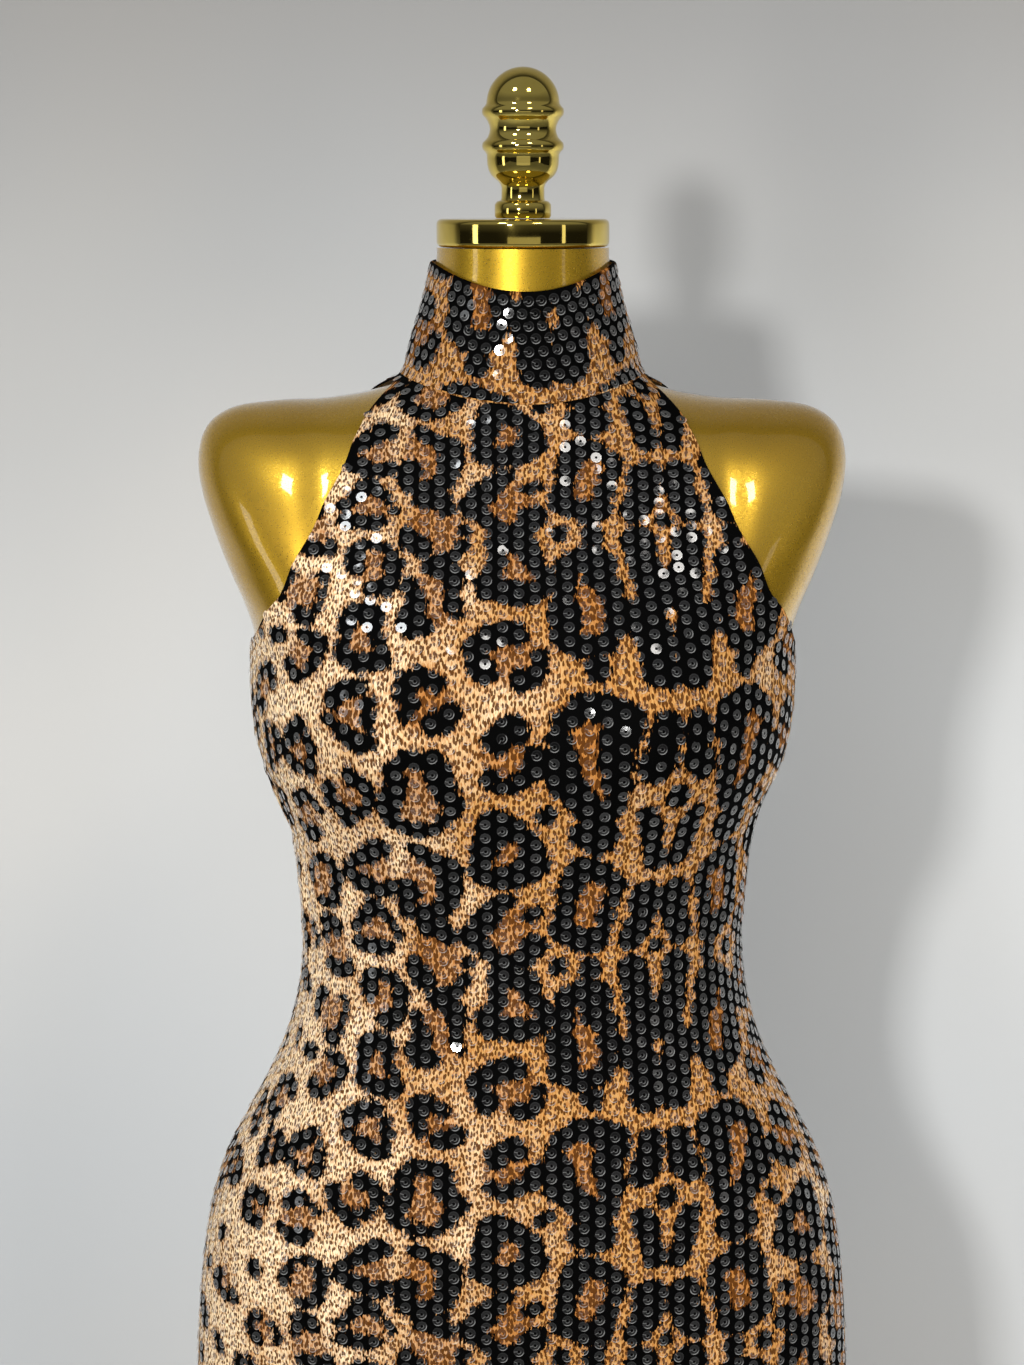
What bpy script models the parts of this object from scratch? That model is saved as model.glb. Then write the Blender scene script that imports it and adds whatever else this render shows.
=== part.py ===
"""A sequin maxi dress with a halter neck, standing on a limbless dress form.

Metres, +Z up, the wearer's front faces -Y. The origin lies on the floor under the pole.
The form and the cloth come from one surface: a stack of sections round the body, each with its
own half width, front, back and height, joined by smooth curves. A place on it is a station (0 at
the top of the neck, one more at each section down) and an angle round the body (0 at the centre
front, 90 at the side, 180 at the centre back). The cloth is that surface moved out.
"""

import math
from collections import namedtuple

import bmesh
import bpy
import numpy as np
from mathutils import Vector

MM = 0.001

# Heights, from the floor.
NECK_TOP_Z = 1.480
HEM_Z = 0.045

# Cloth.
SEAM_GAP = 0.3 * MM
CLEAR_OF_FORM = 1.3 * MM
CLOTH_WALL = 1.5 * MM
COLLAR_WALL = 2.0 * MM

# Neck plate and finial.
PLATE_RADIUS = 48.5 * MM
PLATE_THICKNESS = 15.6 * MM
PLATE_EDGE_ROUND = 3.0 * MM
NECK_CENTRE_Y = -6 * MM

# Stand.
BASE_RADIUS = 150 * MM
BASE_THICKNESS = 10 * MM
BASE_EDGE_ROUND = 3 * MM
POLE_RADIUS = 15 * MM
BOSS_RADIUS = 32 * MM
BOSS_HEIGHT = 34 * MM
BOSS_CHAMFER = 5 * MM
SOCKET_RADIUS = 45 * MM
SOCKET_HEIGHT = 16 * MM
TOUCH_GAP = 0.3 * MM

# Covered buttons at the back of the collar: a low drum with a domed top.
BUTTON_RADIUS = 5.5 * MM
BUTTON_FOOT_RADIUS = 4.7 * MM
BUTTON_DRUM = 1.5 * MM
BUTTON_DOME = 3.0 * MM
BUTTON_STATIONS = (1.45, 2.45, 3.45)

# The finial's outline from its foot up, in millimetres. A quarter circle closes it.
TurnedPoint = namedtuple("TurnedPoint", "radius rise")
FINIAL = (
    TurnedPoint(0, 0),
    TurnedPoint(15.0, 0),  # foot ring
    TurnedPoint(15.8, 1.5),
    TurnedPoint(15.8, 7.5),
    TurnedPoint(14.6, 9.2),
    TurnedPoint(12.2, 10.0),  # stem
    TurnedPoint(12.0, 17.5),
    TurnedPoint(14.0, 20.5),  # bulb
    TurnedPoint(17.6, 23.6),
    TurnedPoint(19.6, 28.0),
    TurnedPoint(20.2, 33.5),
    TurnedPoint(20.6, 36.2),  # lower flange
    TurnedPoint(22.6, 38.2),
    TurnedPoint(22.7, 41.4),
    TurnedPoint(20.6, 43.6),
    TurnedPoint(18.6, 47.5),  # groove
    TurnedPoint(18.6, 50.5),
    TurnedPoint(20.6, 55.0),  # upper flange
    TurnedPoint(22.9, 57.2),
    TurnedPoint(22.9, 60.2),
    TurnedPoint(20.8, 62.0),
)
DOME_RADIUS, DOME_RISE = 20.4 * MM, 63.0 * MM

# One row for each section, in millimetres. "drop" is how far below the top of the neck the
# section lies at that place. side is the half width, and front and back are distances from the
# pole's axis. widest is how far forward the half width is measured. square is the exponent of the
# superellipse: 2 is an ellipse, and more is boxier.
Section = namedtuple(
    "Section", "side side_drop front front_drop back back_drop widest square"
)
NECK_AND_TRUNK = (
    Section(48.4, 0.0, 54.4, 0.0, 42.4, 0.0, 6.0, 2.00),  # 0 top of the neck
    Section(48.9, 9.0, 54.6, 24.0, 43.2, 4.0, 5.5, 2.00),  # 1 top edge of the collar
    Section(53.4, 30.0, 54.9, 45.0, 47.5, 23.0, 3.0, 2.00),
    Section(60.2, 52.0, 55.8, 66.0, 53.5, 42.0, 0.0, 2.00),
    Section(66.6, 72.0, 58.0, 84.5, 61.0, 60.0, -3.0, 2.00),  # 4 collar seam
    Section(85.0, 80.5, 62.0, 99.0, 71.0, 76.0, -4.0, 2.00),
    Section(112.0, 84.5, 67.5, 116.0, 81.0, 95.0, -4.0, 2.00),
    Section(140.0, 86.0, 73.5, 133.0, 89.0, 115.0, -3.0, 2.05),
    Section(163.5, 89.5, 80.0, 150.0, 95.0, 135.0, -2.0, 2.10),
    Section(178.0, 99.0, 86.5, 166.0, 99.0, 155.0, -1.0, 2.15),
    Section(183.6, 115.0, 93.0, 182.0, 101.5, 174.0, 0.0, 2.20),  # 10 widest shoulder
    Section(182.0, 135.0, 99.5, 198.0, 102.5, 192.0, 0.0, 2.25),
    Section(174.3, 160.0, 105.5, 214.0, 102.5, 210.0, 0.0, 2.30),
    Section(167.2, 178.0, 110.0, 227.0, 101.5, 224.0, 0.0, 2.35),
    Section(159.3, 196.0, 113.0, 239.0, 100.0, 238.0, 0.0, 2.40),
    Section(153.6, 213.0, 115.5, 250.0, 98.5, 250.0, 0.0, 2.45),
    Section(152.7, 229.0, 117.0, 260.5, 97.0, 262.0, 0.0, 2.45),  # 16 under the arm
    Section(152.8, 244.0, 117.3, 271.0, 95.3, 273.0, 0.0, 2.45),
    Section(152.2, 259.0, 116.5, 282.0, 93.3, 284.0, 0.0, 2.40),
    Section(150.4, 274.0, 114.5, 294.0, 91.0, 296.0, 0.0, 2.35),
    Section(146.2, 290.0, 111.0, 307.0, 88.5, 309.0, 0.0, 2.30),
    Section(139.2, 306.0, 107.0, 321.0, 86.0, 322.0, 0.0, 2.25),
    Section(132.9, 322.0, 103.0, 335.0, 83.3, 336.0, 0.0, 2.20),
    Section(129.3, 340.0, 99.5, 351.0, 80.0, 351.0, 0.0, 2.15),
    Section(127.2, 360.0, 96.6, 368.0, 76.8, 368.0, 0.0, 2.15),
    Section(124.9, 387.0, 94.7, 390.0, 74.3, 390.0, 0.0, 2.15),  # 25 waist
    Section(125.4, 412.0, 95.2, 413.0, 75.2, 413.0, 0.0, 2.15),
    Section(130.4, 440.0, 98.2, 440.0, 80.5, 440.0, 0.0, 2.15),
    Section(141.0, 470.0, 102.4, 470.0, 90.0, 470.0, 0.0, 2.15),
    Section(157.4, 502.0, 105.6, 502.0, 101.0, 502.0, 0.0, 2.20),
    Section(172.5, 532.0, 106.4, 532.0, 111.0, 532.0, 0.0, 2.25),
    Section(181.4, 565.0, 105.4, 565.0, 120.0, 565.0, 0.0, 2.30),
    Section(186.6, 605.0, 102.8, 605.0, 125.8, 605.0, 0.0, 2.30),
    Section(189.3, 650.0, 100.0, 650.0, 124.5, 650.0, 0.0, 2.30),  # 33 fullest hip
)
FORM_BOTTOM = (
    Section(187.5, 690.0, 97.5, 690.0, 119.5, 690.0, 0.0, 2.30),
    Section(182.0, 728.0, 94.0, 728.0, 112.0, 728.0, 0.0, 2.30),
)
SKIRT = (
    Section(190.6, 720.0, 102.0, 720.0, 124.5, 720.0, 0.0, 2.30),
    Section(192.6, 810.0, 109.0, 810.0, 129.5, 810.0, 0.0, 2.25),
    Section(196.4, 920.0, 119.5, 920.0, 138.0, 920.0, 0.0, 2.20),
    Section(202.0, 1050.0, 133.5, 1050.0, 149.5, 1050.0, 0.0, 2.15),
    Section(208.5, 1190.0, 149.0, 1190.0, 163.0, 1190.0, 0.0, 2.10),
    Section(215.0, 1320.0, 163.0, 1320.0, 175.5, 1320.0, 0.0, 2.10),
    Section(220.0, 1435.0, 173.0, 1435.0, 184.5, 1435.0, 0.0, 2.10),
)
COLLAR_TOP, COLLAR_SEAM, UNDERARM, HIP = 1, 4, 15.72, 33
HEM = HIP + len(SKIRT)

# The bust, as two soft swellings of the front.
BUST_SWELL, BUST_APART, BUST_WIDTH = 15 * MM, 76 * MM, 40 * MM
BUST_DROP, BUST_ABOVE, BUST_BELOW = 262 * MM, 62 * MM, 34 * MM
BUST_FADE = 3  # it fades to nothing at the side, from where the angle's cosine is 1/3

# Soft folds that open down the skirt: how many go round, their share of the depth and their turn.
Fold = namedtuple("Fold", "count share turn")
FOLDS = (Fold(9, 0.55, 0.6), Fold(5, 0.30, 1.9), Fold(13, 0.15, 0.2))
FOLD_DEPTH, FOLDS_FROM, FOLDS_GROW = 15 * MM, 0.70, 1.4

# The edge of the armhole: the angle from the centre front, at the root of the number of stations
# that the place lies above the underarm. So the edge runs level through the side seam.
ArmholePoint = namedtuple("ArmholePoint", "root_above_underarm angle")
ARMHOLE = (
    ArmholePoint(0.0, 90.0),
    ArmholePoint(0.5, 80.0),
    ArmholePoint(1.1, 66.0),
    ArmholePoint(1.65, 53.5),
    ArmholePoint(2.15, 42.8),
    ArmholePoint(2.6, 38.0),
    ArmholePoint(2.95, 43.0),
    ArmholePoint(3.12, 52.8),
    ArmholePoint(3.27, 66.8),
    ArmholePoint(3.43, 87.0),
)

# Faces.
FRONT_COLUMNS, BACK_COLUMNS, COLLAR_COLUMNS, COLLAR_ROWS = 24, 12, 36, 4
SHOULDER_ROWS, UNDERARM_ROWS, TRUNK_ROWS, SKIRT_ROWS = 10, 6, 19, 8
UNDERARM_CURVE = 13
FORM_COLUMNS, FORM_ROWS = 36, 30
HOLLOWS_OF_FORM, HOLLOW_STEP = ((3, 7), (12.5, 17)), 0.5  # stations with closer rows
ROUND_SEGMENTS, FINIAL_SEGMENTS, BUTTON_SEGMENTS = 32, 24, 12


class BodySurface:
    """The body, or the cloth's own surface, as smooth curves through a stack of sections."""

    def __init__(self, sections, folded=False):
        self.table = np.array(sections, float)
        self.table[:, :7] *= MM
        self.folded = folded

    def section(self, station):
        """The columns at a station, which may lie between two rows."""
        last = len(self.table) - 1
        station = np.clip(np.asarray(station, float), 0, last)
        k = np.minimum(station.astype(int), last - 1)
        f = (station - k)[..., None]
        before, here = self.table[np.maximum(k - 1, 0)], self.table[k]
        after, next_one = self.table[k + 1], self.table[np.minimum(k + 2, last)]
        leave, arrive = (after - before) / 2, (next_one - here) / 2
        bend = (
            here * (2 * f**3 - 3 * f**2 + 1)
            + leave * (f**3 - 2 * f**2 + f)
            + after * (3 * f**2 - 2 * f**3)
            + arrive * (f**3 - f**2)
        )
        return np.moveaxis(bend, -1, 0)

    def point(self, station, angle):
        """Places on the surface, in metres. The angle is in radians."""
        side, side_drop, front, front_drop, back, back_drop, widest, square = (
            self.section(station)
        )
        s, c = np.sin(angle), np.cos(angle)
        reach = (np.abs(s) ** square + np.abs(c) ** square) ** (-1 / square)
        ahead = c >= 0
        depth = np.where(ahead, front - widest, back + widest)
        x, y = side * s * reach, -widest - depth * c * reach
        drop = side_drop + np.where(
            ahead, front_drop - side_drop, back_drop - side_drop
        ) * (c * reach) ** 2
        y = y - self.bust(np.abs(x), drop) * np.clip(c * BUST_FADE, 0, 1)
        if self.folded:
            out = self.fold(angle, drop)
            x, y = x + out * s, y - out * c
        return np.stack([x, y, NECK_TOP_Z - drop], -1)

    @staticmethod
    def bust(x, drop):
        """How far the bust swells forward."""
        tall = np.where(drop < BUST_DROP, BUST_ABOVE, BUST_BELOW)
        return BUST_SWELL * np.exp(
            -(((x - BUST_APART) / BUST_WIDTH) ** 2) - ((drop - BUST_DROP) / tall) ** 2
        )

    @staticmethod
    def fold(angle, drop):
        """How far a fold of the skirt stands out."""
        down = (drop - FOLDS_FROM) / (NECK_TOP_Z - HEM_Z - FOLDS_FROM)
        wave = sum(f.share * np.cos(f.count * angle + f.turn) for f in FOLDS)
        return FOLD_DEPTH * np.clip(down, 0, 1) ** FOLDS_GROW * wave

    def normal(self, station, angle):
        """The direction straight out of the surface."""
        step = 0.01  # of a station, and of a radian
        across = self.point(station, angle + step) - self.point(station, angle - step)
        up = self.point(station - step, angle) - self.point(station + step, angle)
        out = np.cross(across, up)
        return out / np.linalg.norm(out, axis=-1, keepdims=True)

    def evenly(self, station, start, end, count):
        """Angles from start to end at a station that stand equal lengths apart."""
        fine = np.linspace(start, end, 12 * count + 1)
        places = self.point(np.full(len(fine), station), fine)
        run = np.linalg.norm(np.diff(places, axis=0), axis=1).cumsum()
        along = np.concatenate([[0], run])
        return np.interp(np.linspace(0, along[-1], count + 1), along, fine)


FORM = BodySurface(NECK_AND_TRUNK + FORM_BOTTOM)
DRESS = BodySurface(NECK_AND_TRUNK + SKIRT, folded=True)


def armhole_angle(station):
    """The angle of the armhole's edge at a station between the collar seam and the underarm."""
    roots = [p.root_above_underarm for p in ARMHOLE]
    angles = [p.angle for p in ARMHOLE]
    root = math.sqrt(max(UNDERARM - station, 0))
    k = min(int(np.searchsorted(roots, root, side="right")) - 1, len(roots) - 2)
    slopes = np.gradient(angles, roots)
    width = roots[k + 1] - roots[k]
    f = (root - roots[k]) / width
    return math.radians(
        angles[k] * (2 * f**3 - 3 * f**2 + 1)
        + slopes[k] * width * (f**3 - 2 * f**2 + f)
        + angles[k + 1] * (3 * f**2 - 2 * f**3)
        + slopes[k + 1] * width * (f**3 - f**2)
    )


def panel_stations():
    """The stations of the rows of a front or back panel, from the collar seam to the hem."""
    first = COLLAR_SEAM + seam_in_stations(DRESS, COLLAR_SEAM)
    shoulder = np.linspace(first, UNDERARM_CURVE, SHOULDER_ROWS + 1)[:-1]
    roots = np.linspace(math.sqrt(UNDERARM - UNDERARM_CURVE), 0, UNDERARM_ROWS + 1)
    trunk = np.linspace(UNDERARM, HIP, TRUNK_ROWS + 1)[1:]
    skirt = np.linspace(HIP, HEM, SKIRT_ROWS + 1)[1:]
    return [*shoulder, *(UNDERARM - roots**2), *trunk, *skirt]


def seam_in_stations(surface, station):
    """Half a seam's gap, as a part of a station at the centre front."""
    step = 0.1
    near, far = surface.point(np.array([station, station + step]), np.zeros(2))
    return SEAM_GAP / 2 * step / np.linalg.norm(far - near)


def edge_trim(station):
    """Half a seam's gap, as an angle at the side or the centre back."""
    return SEAM_GAP / 2 / DRESS.section(station)[0]


def front_row(station):
    """Where a row of the front starts and ends."""
    edge = armhole_angle(station) if station < UNDERARM else math.pi / 2
    edge = min(edge, math.pi / 2 - edge_trim(station))
    return -edge, edge


def back_row(station):
    """Where a row of the left back starts and ends: side seam or armhole, and centre back."""
    edge = front_row(station)[1]
    depth_there = DRESS.section(station)[4]
    return math.pi - edge, math.pi - SEAM_GAP / 2 / depth_there


def material(name, colour, roughness, metallic):
    """A Principled BSDF with a plain finish."""
    made = bpy.data.materials.new(name)
    made.use_nodes = True
    shader = made.node_tree.nodes["Principled BSDF"]
    shader.inputs["Base Color"].default_value = (*colour, 1)
    shader.inputs["Roughness"].default_value = roughness
    shader.inputs["Metallic"].default_value = metallic
    made.diffuse_color = (*colour, 1)
    return made


def add_object(name, bm, finish, smooth_angle=math.radians(35)):
    """A named object from a bmesh, shaded smooth, with its faces pointing out."""
    bmesh.ops.recalc_face_normals(bm, faces=bm.faces)
    mesh = bpy.data.meshes.new(name)
    bm.to_mesh(mesh)
    bm.free()
    mesh.materials.append(finish)
    mesh.shade_smooth()
    mesh.set_sharp_from_angle(angle=smooth_angle)
    made = bpy.data.objects.new(name, mesh)
    bpy.context.scene.collection.objects.link(made)
    return made


def cloth(name, rows, columns, wall, finish):
    """A cloth wall over rows of (station, first angle, last angle), clear of the form."""
    bm = bmesh.new()
    layers = []
    for lift in (CLEAR_OF_FORM, CLEAR_OF_FORM + wall):
        layer = []
        for station, start, end in rows:
            angles = DRESS.evenly(station, start, end, columns)
            stations = np.full(len(angles), station)
            places = DRESS.point(stations, angles)
            places = places + DRESS.normal(stations, angles) * lift
            layer.append([bm.verts.new(p) for p in places])
        layers.append(layer)
    for layer in layers:
        for above, below in zip(layer, layer[1:]):
            for k in range(columns):
                bm.faces.new((above[k], above[k + 1], below[k + 1], below[k]))
    inner, outer = (outline(layer) for layer in layers)
    for k in range(len(inner)):
        after = (k + 1) % len(inner)
        bm.faces.new((inner[k], inner[after], outer[after], outer[k]))
    return add_object(name, bm, finish)


def outline(layer):
    """The vertices round the edge of a grid, in order."""
    top, bottom = layer[0], layer[-1]
    left, right = [row[0] for row in layer], [row[-1] for row in layer]
    return top[:-1] + right[:-1] + bottom[:0:-1] + left[:0:-1]


def form_torso(finish):
    """The limbless torso with its neck and rounded shoulder ends."""
    bm = bmesh.new()
    stations = np.linspace(0, len(FORM.table) - 1, FORM_ROWS + 1)
    for first, last in HOLLOWS_OF_FORM:
        outside = stations[(stations < first) | (stations > last)]
        closer = np.arange(first, last + HOLLOW_STEP / 2, HOLLOW_STEP)
        stations = np.sort([*outside, *closer])
    rings = []
    for station in stations:
        angles = FORM.evenly(station, 0, 2 * math.pi, FORM_COLUMNS)[:-1]
        places = FORM.point(np.full(FORM_COLUMNS, station), angles)
        rings.append([bm.verts.new(p) for p in places])
    for above, below in zip(rings, rings[1:]):
        for k in range(FORM_COLUMNS):
            after = (k + 1) % FORM_COLUMNS
            bm.faces.new((above[k], above[after], below[after], below[k]))
    bm.faces.new(rings[0])
    bm.faces.new(rings[-1])
    torso = add_object("form_torso", bm, finish)
    torso.location.z = -TOUCH_GAP
    return torso


def turned(name, profile, finish, centre=(0, 0), segments=ROUND_SEGMENTS):
    """A turned solid from a profile of (radius, height), bottom to top, closed at the axis."""
    bm = bmesh.new()
    verts = [bm.verts.new((r, 0, z)) for r, z in profile]
    edges = [bm.edges.new(pair) for pair in zip(verts, verts[1:])]
    bmesh.ops.spin(
        bm,
        geom=verts + edges,
        cent=(0, 0, 0),
        axis=(0, 0, 1),
        angle=2 * math.pi,
        steps=segments,
        use_merge=True,
        use_duplicate=False,
    )
    bmesh.ops.remove_doubles(bm, verts=bm.verts, dist=MM / 100)
    made = add_object(name, bm, finish)
    made.location = (*centre, 0)
    return made


def arc(centre, wide, tall, start, end, steps):
    """Points of an arc in (radius, height), with the angles in degrees from outwards to up."""
    angles = np.radians(np.linspace(start, end, steps + 1))
    return [(centre[0] + wide * math.cos(a), centre[1] + tall * math.sin(a)) for a in angles]


def quarter_up(centre, wide, tall, steps):
    """A quarter of an ellipse that rises to end on the axis."""
    return [*arc(centre, wide, tall, 0, 90, steps)[:-1], (0, centre[1] + tall)]


def neck_plate(finish):
    """The polished plate on the neck, with rounded edges."""
    low, high = NECK_TOP_Z, NECK_TOP_Z + PLATE_THICKNESS
    edge, inner = PLATE_EDGE_ROUND, PLATE_RADIUS - PLATE_EDGE_ROUND
    profile = [
        (0, low),
        *arc((inner, low + edge), edge, edge, -90, 0, 3),
        *arc((inner, high - edge), edge, edge, 0, 90, 3),
        (0, high),
    ]
    return turned("neck_plate", profile, finish, (0, NECK_CENTRE_Y))


def finial(finish):
    """The turned knob on the plate: ring, stem, bulb, two flanges round a groove, and a dome."""
    foot = NECK_TOP_Z + PLATE_THICKNESS + TOUCH_GAP
    profile = [(p.radius * MM, foot + p.rise * MM) for p in FINIAL]
    profile += quarter_up((0, foot + DOME_RISE), DOME_RADIUS, DOME_RADIUS, 7)
    return turned("finial", profile, finish, (0, NECK_CENTRE_Y), FINIAL_SEGMENTS)


def stand(finish):
    """The round base, its boss, the pole and the socket plate under the torso."""
    edge, inner = BASE_EDGE_ROUND, BASE_RADIUS - BASE_EDGE_ROUND
    profile = [
        (0, 0),
        (BASE_RADIUS, 0),
        *arc((inner, BASE_THICKNESS - edge), edge, edge, 0, 90, 3),
        (0, BASE_THICKNESS),
    ]
    turned("stand_base", profile, finish)
    boss_foot = BASE_THICKNESS + TOUCH_GAP
    boss_top = boss_foot + BOSS_HEIGHT
    bore = POLE_RADIUS + TOUCH_GAP
    ring("stand_boss", bore, BOSS_RADIUS, boss_foot, boss_top, BOSS_CHAMFER, finish)
    form_foot = NECK_TOP_Z - TOUCH_GAP - FORM_BOTTOM[-1].side_drop * MM
    socket_top = form_foot - TOUCH_GAP
    socket_foot = socket_top - SOCKET_HEIGHT
    ring("form_socket", bore, SOCKET_RADIUS, socket_foot, socket_top, 0, finish)
    pole = [(0, boss_foot), (POLE_RADIUS, boss_foot), (POLE_RADIUS, socket_top)]
    turned("stand_pole", [*pole, (0, socket_top)], finish)


def ring(name, bore, radius, foot, top, chamfer, finish):
    """A turned ring round the pole, chamfered on its upper outer edge."""
    profile = [(bore, foot), (radius, foot), (radius, top - chamfer)]
    profile += [(radius - chamfer, top)] if chamfer else []
    profile += [(bore, top), (bore, foot)]
    return turned(name, profile, finish)


def collar(finish):
    """The high stand collar, one folded strip that meets at the centre back."""
    gap = seam_in_stations(DRESS, COLLAR_SEAM)
    rows = []
    for station in np.linspace(COLLAR_TOP, COLLAR_SEAM - gap, COLLAR_ROWS + 1):
        half = math.pi - SEAM_GAP / 2 / DRESS.section(station)[4]
        rows.append((station, -half, half))
    return cloth("collar", rows, COLLAR_COLUMNS, COLLAR_WALL, finish)


def buttons(finish):
    """Small covered buttons over the meeting ends of the collar."""
    for number, station in enumerate(BUTTON_STATIONS, 1):
        place, angle = np.array([station]), np.array([math.pi])
        out = DRESS.normal(place, angle)[0]
        lift = CLEAR_OF_FORM + COLLAR_WALL + TOUCH_GAP
        foot = DRESS.point(place, angle)[0] + out * lift
        dome = quarter_up((0, BUTTON_DRUM), BUTTON_RADIUS, BUTTON_DOME, 4)
        profile = [(0, 0), (BUTTON_FOOT_RADIUS, 0), *dome]
        made = turned(
            f"collar_button_{number}", profile, finish, segments=BUTTON_SEGMENTS
        )
        made.rotation_mode = "QUATERNION"
        made.rotation_quaternion = Vector(out).to_track_quat("Z", "Y")
        made.location = foot


def main():
    """The form, its plate, finial and stand, then the four pieces of cloth and the buttons."""
    for old in list(bpy.data.objects):
        bpy.data.objects.remove(old)
    sequin_cloth = material("sequin_cloth", (0.42, 0.24, 0.10), 0.55, 0.0)
    gold_lacquer = material("gold_lacquer", (0.55, 0.38, 0.04), 0.30, 0.7)
    polished_gold = material("polished_gold", (0.75, 0.58, 0.16), 0.08, 1.0)
    form_torso(gold_lacquer)
    neck_plate(polished_gold)
    finial(polished_gold)
    stand(polished_gold)
    stations = panel_stations()
    front = [(t, *front_row(t)) for t in stations]
    cloth("dress_front", front, FRONT_COLUMNS, CLOTH_WALL, sequin_cloth)
    left = [(t, *back_row(t)) for t in stations]
    right = [(t, -end, -start) for t, start, end in left]
    cloth("dress_back_left", left, BACK_COLUMNS, CLOTH_WALL, sequin_cloth)
    cloth("dress_back_right", right, BACK_COLUMNS, CLOTH_WALL, sequin_cloth)
    collar(sequin_cloth)
    buttons(sequin_cloth)


main()
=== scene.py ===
"""A sequin halter maxi dress on its gold dress form: cloth, print, sequins, sewing and finishes.

Metres, +Z up, the wearer's front faces -Y. The body's surface is a stack of sections with smooth
curves between them. A place on it is a station (0 at the top of the neck, one more at each section
down) and an angle round the body (0 at the centre front, 90 at the side, 180 at the centre back).
The cloth is that surface moved out, and its sequins stand on it in rows of the flat cloth.
"""

from __future__ import annotations

import logging
import math
from dataclasses import dataclass
from enum import Enum

import bpy
import numpy as np
from mathutils import Matrix, Vector

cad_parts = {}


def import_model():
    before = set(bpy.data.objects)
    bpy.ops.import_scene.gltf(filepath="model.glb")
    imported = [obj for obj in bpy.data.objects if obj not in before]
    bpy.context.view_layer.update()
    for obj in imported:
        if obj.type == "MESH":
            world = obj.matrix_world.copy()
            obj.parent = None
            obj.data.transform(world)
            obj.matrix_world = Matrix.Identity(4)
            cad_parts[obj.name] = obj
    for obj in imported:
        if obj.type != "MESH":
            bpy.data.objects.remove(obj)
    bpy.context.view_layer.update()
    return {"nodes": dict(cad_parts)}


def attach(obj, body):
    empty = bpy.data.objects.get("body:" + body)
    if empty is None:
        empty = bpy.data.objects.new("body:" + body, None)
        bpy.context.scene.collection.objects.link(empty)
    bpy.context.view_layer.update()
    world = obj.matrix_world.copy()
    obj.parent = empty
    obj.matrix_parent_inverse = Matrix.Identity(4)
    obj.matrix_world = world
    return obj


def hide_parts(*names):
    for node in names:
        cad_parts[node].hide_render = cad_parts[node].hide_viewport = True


Triple = tuple[float, float, float]
Colour = tuple[float, float, float, float]
Socket = bpy.types.NodeSocket
Material = bpy.types.Material
Piece = bpy.types.Object

LOG = logging.getLogger("sequin_dress")
MM = 0.001
BODY = "root"

NECK_TOP_Z = 1.480
HEM_Z = 0.045
CLEAR_OF_FORM = 1.3 * MM
CLOTH_WALL = 1.5 * MM
COLLAR_WALL = 2.0 * MM
SEQUIN_STAND = 0.25 * MM
TOUCH_GAP = 0.3 * MM
NECK_CENTRE_Y = -6 * MM
TINY = 0.02  # millimetres, the radius to which a turned end closes

COLLAR_TOP, COLLAR_SEAM, UNDERARM, HIP, HEM = 1, 4, 15.72, 33, 40  # stations
COLLAR_MIDDLE = (COLLAR_TOP + COLLAR_SEAM) / 2
SEAM_STEP = 0.012  # of a station, from the collar seam's line to each cloth edge
COLLAR_RISE = 21 * MM  # of collar to a station


def unit(arrows: np.ndarray) -> np.ndarray:
    """The arrows, each brought to a length of one."""
    return arrows / np.maximum(np.linalg.norm(arrows, axis=-1, keepdims=True), 1e-12)


def curve_between(
    share: np.ndarray, start: np.ndarray, leave: np.ndarray, end: np.ndarray, arrive: np.ndarray
) -> np.ndarray:
    """A smooth curve from one value to the next.

    Args:
        share: How far along it is, from 0 to 1.
        start: The first value.
        leave: The slope there.
        end: The last value.
        arrive: The slope there.

    Returns:
        The values at those shares.
    """
    f = share
    return (
        start * (2 * f**3 - 3 * f**2 + 1)
        + leave * (f**3 - 2 * f**2 + f)
        + end * (3 * f**2 - 2 * f**3)
        + arrive * (f**3 - f**2)
    )


@dataclass(frozen=True)
class Section:
    """One section of the body in millimetres. A drop is a distance below the top of the neck.

    The widest line lies that far forward of the pole's axis. The square is 2 for an ellipse, and
    more for a squarer section.
    """

    side: float
    side_drop: float
    front: float
    front_drop: float
    back: float
    back_drop: float
    widest: float
    square: float


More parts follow.
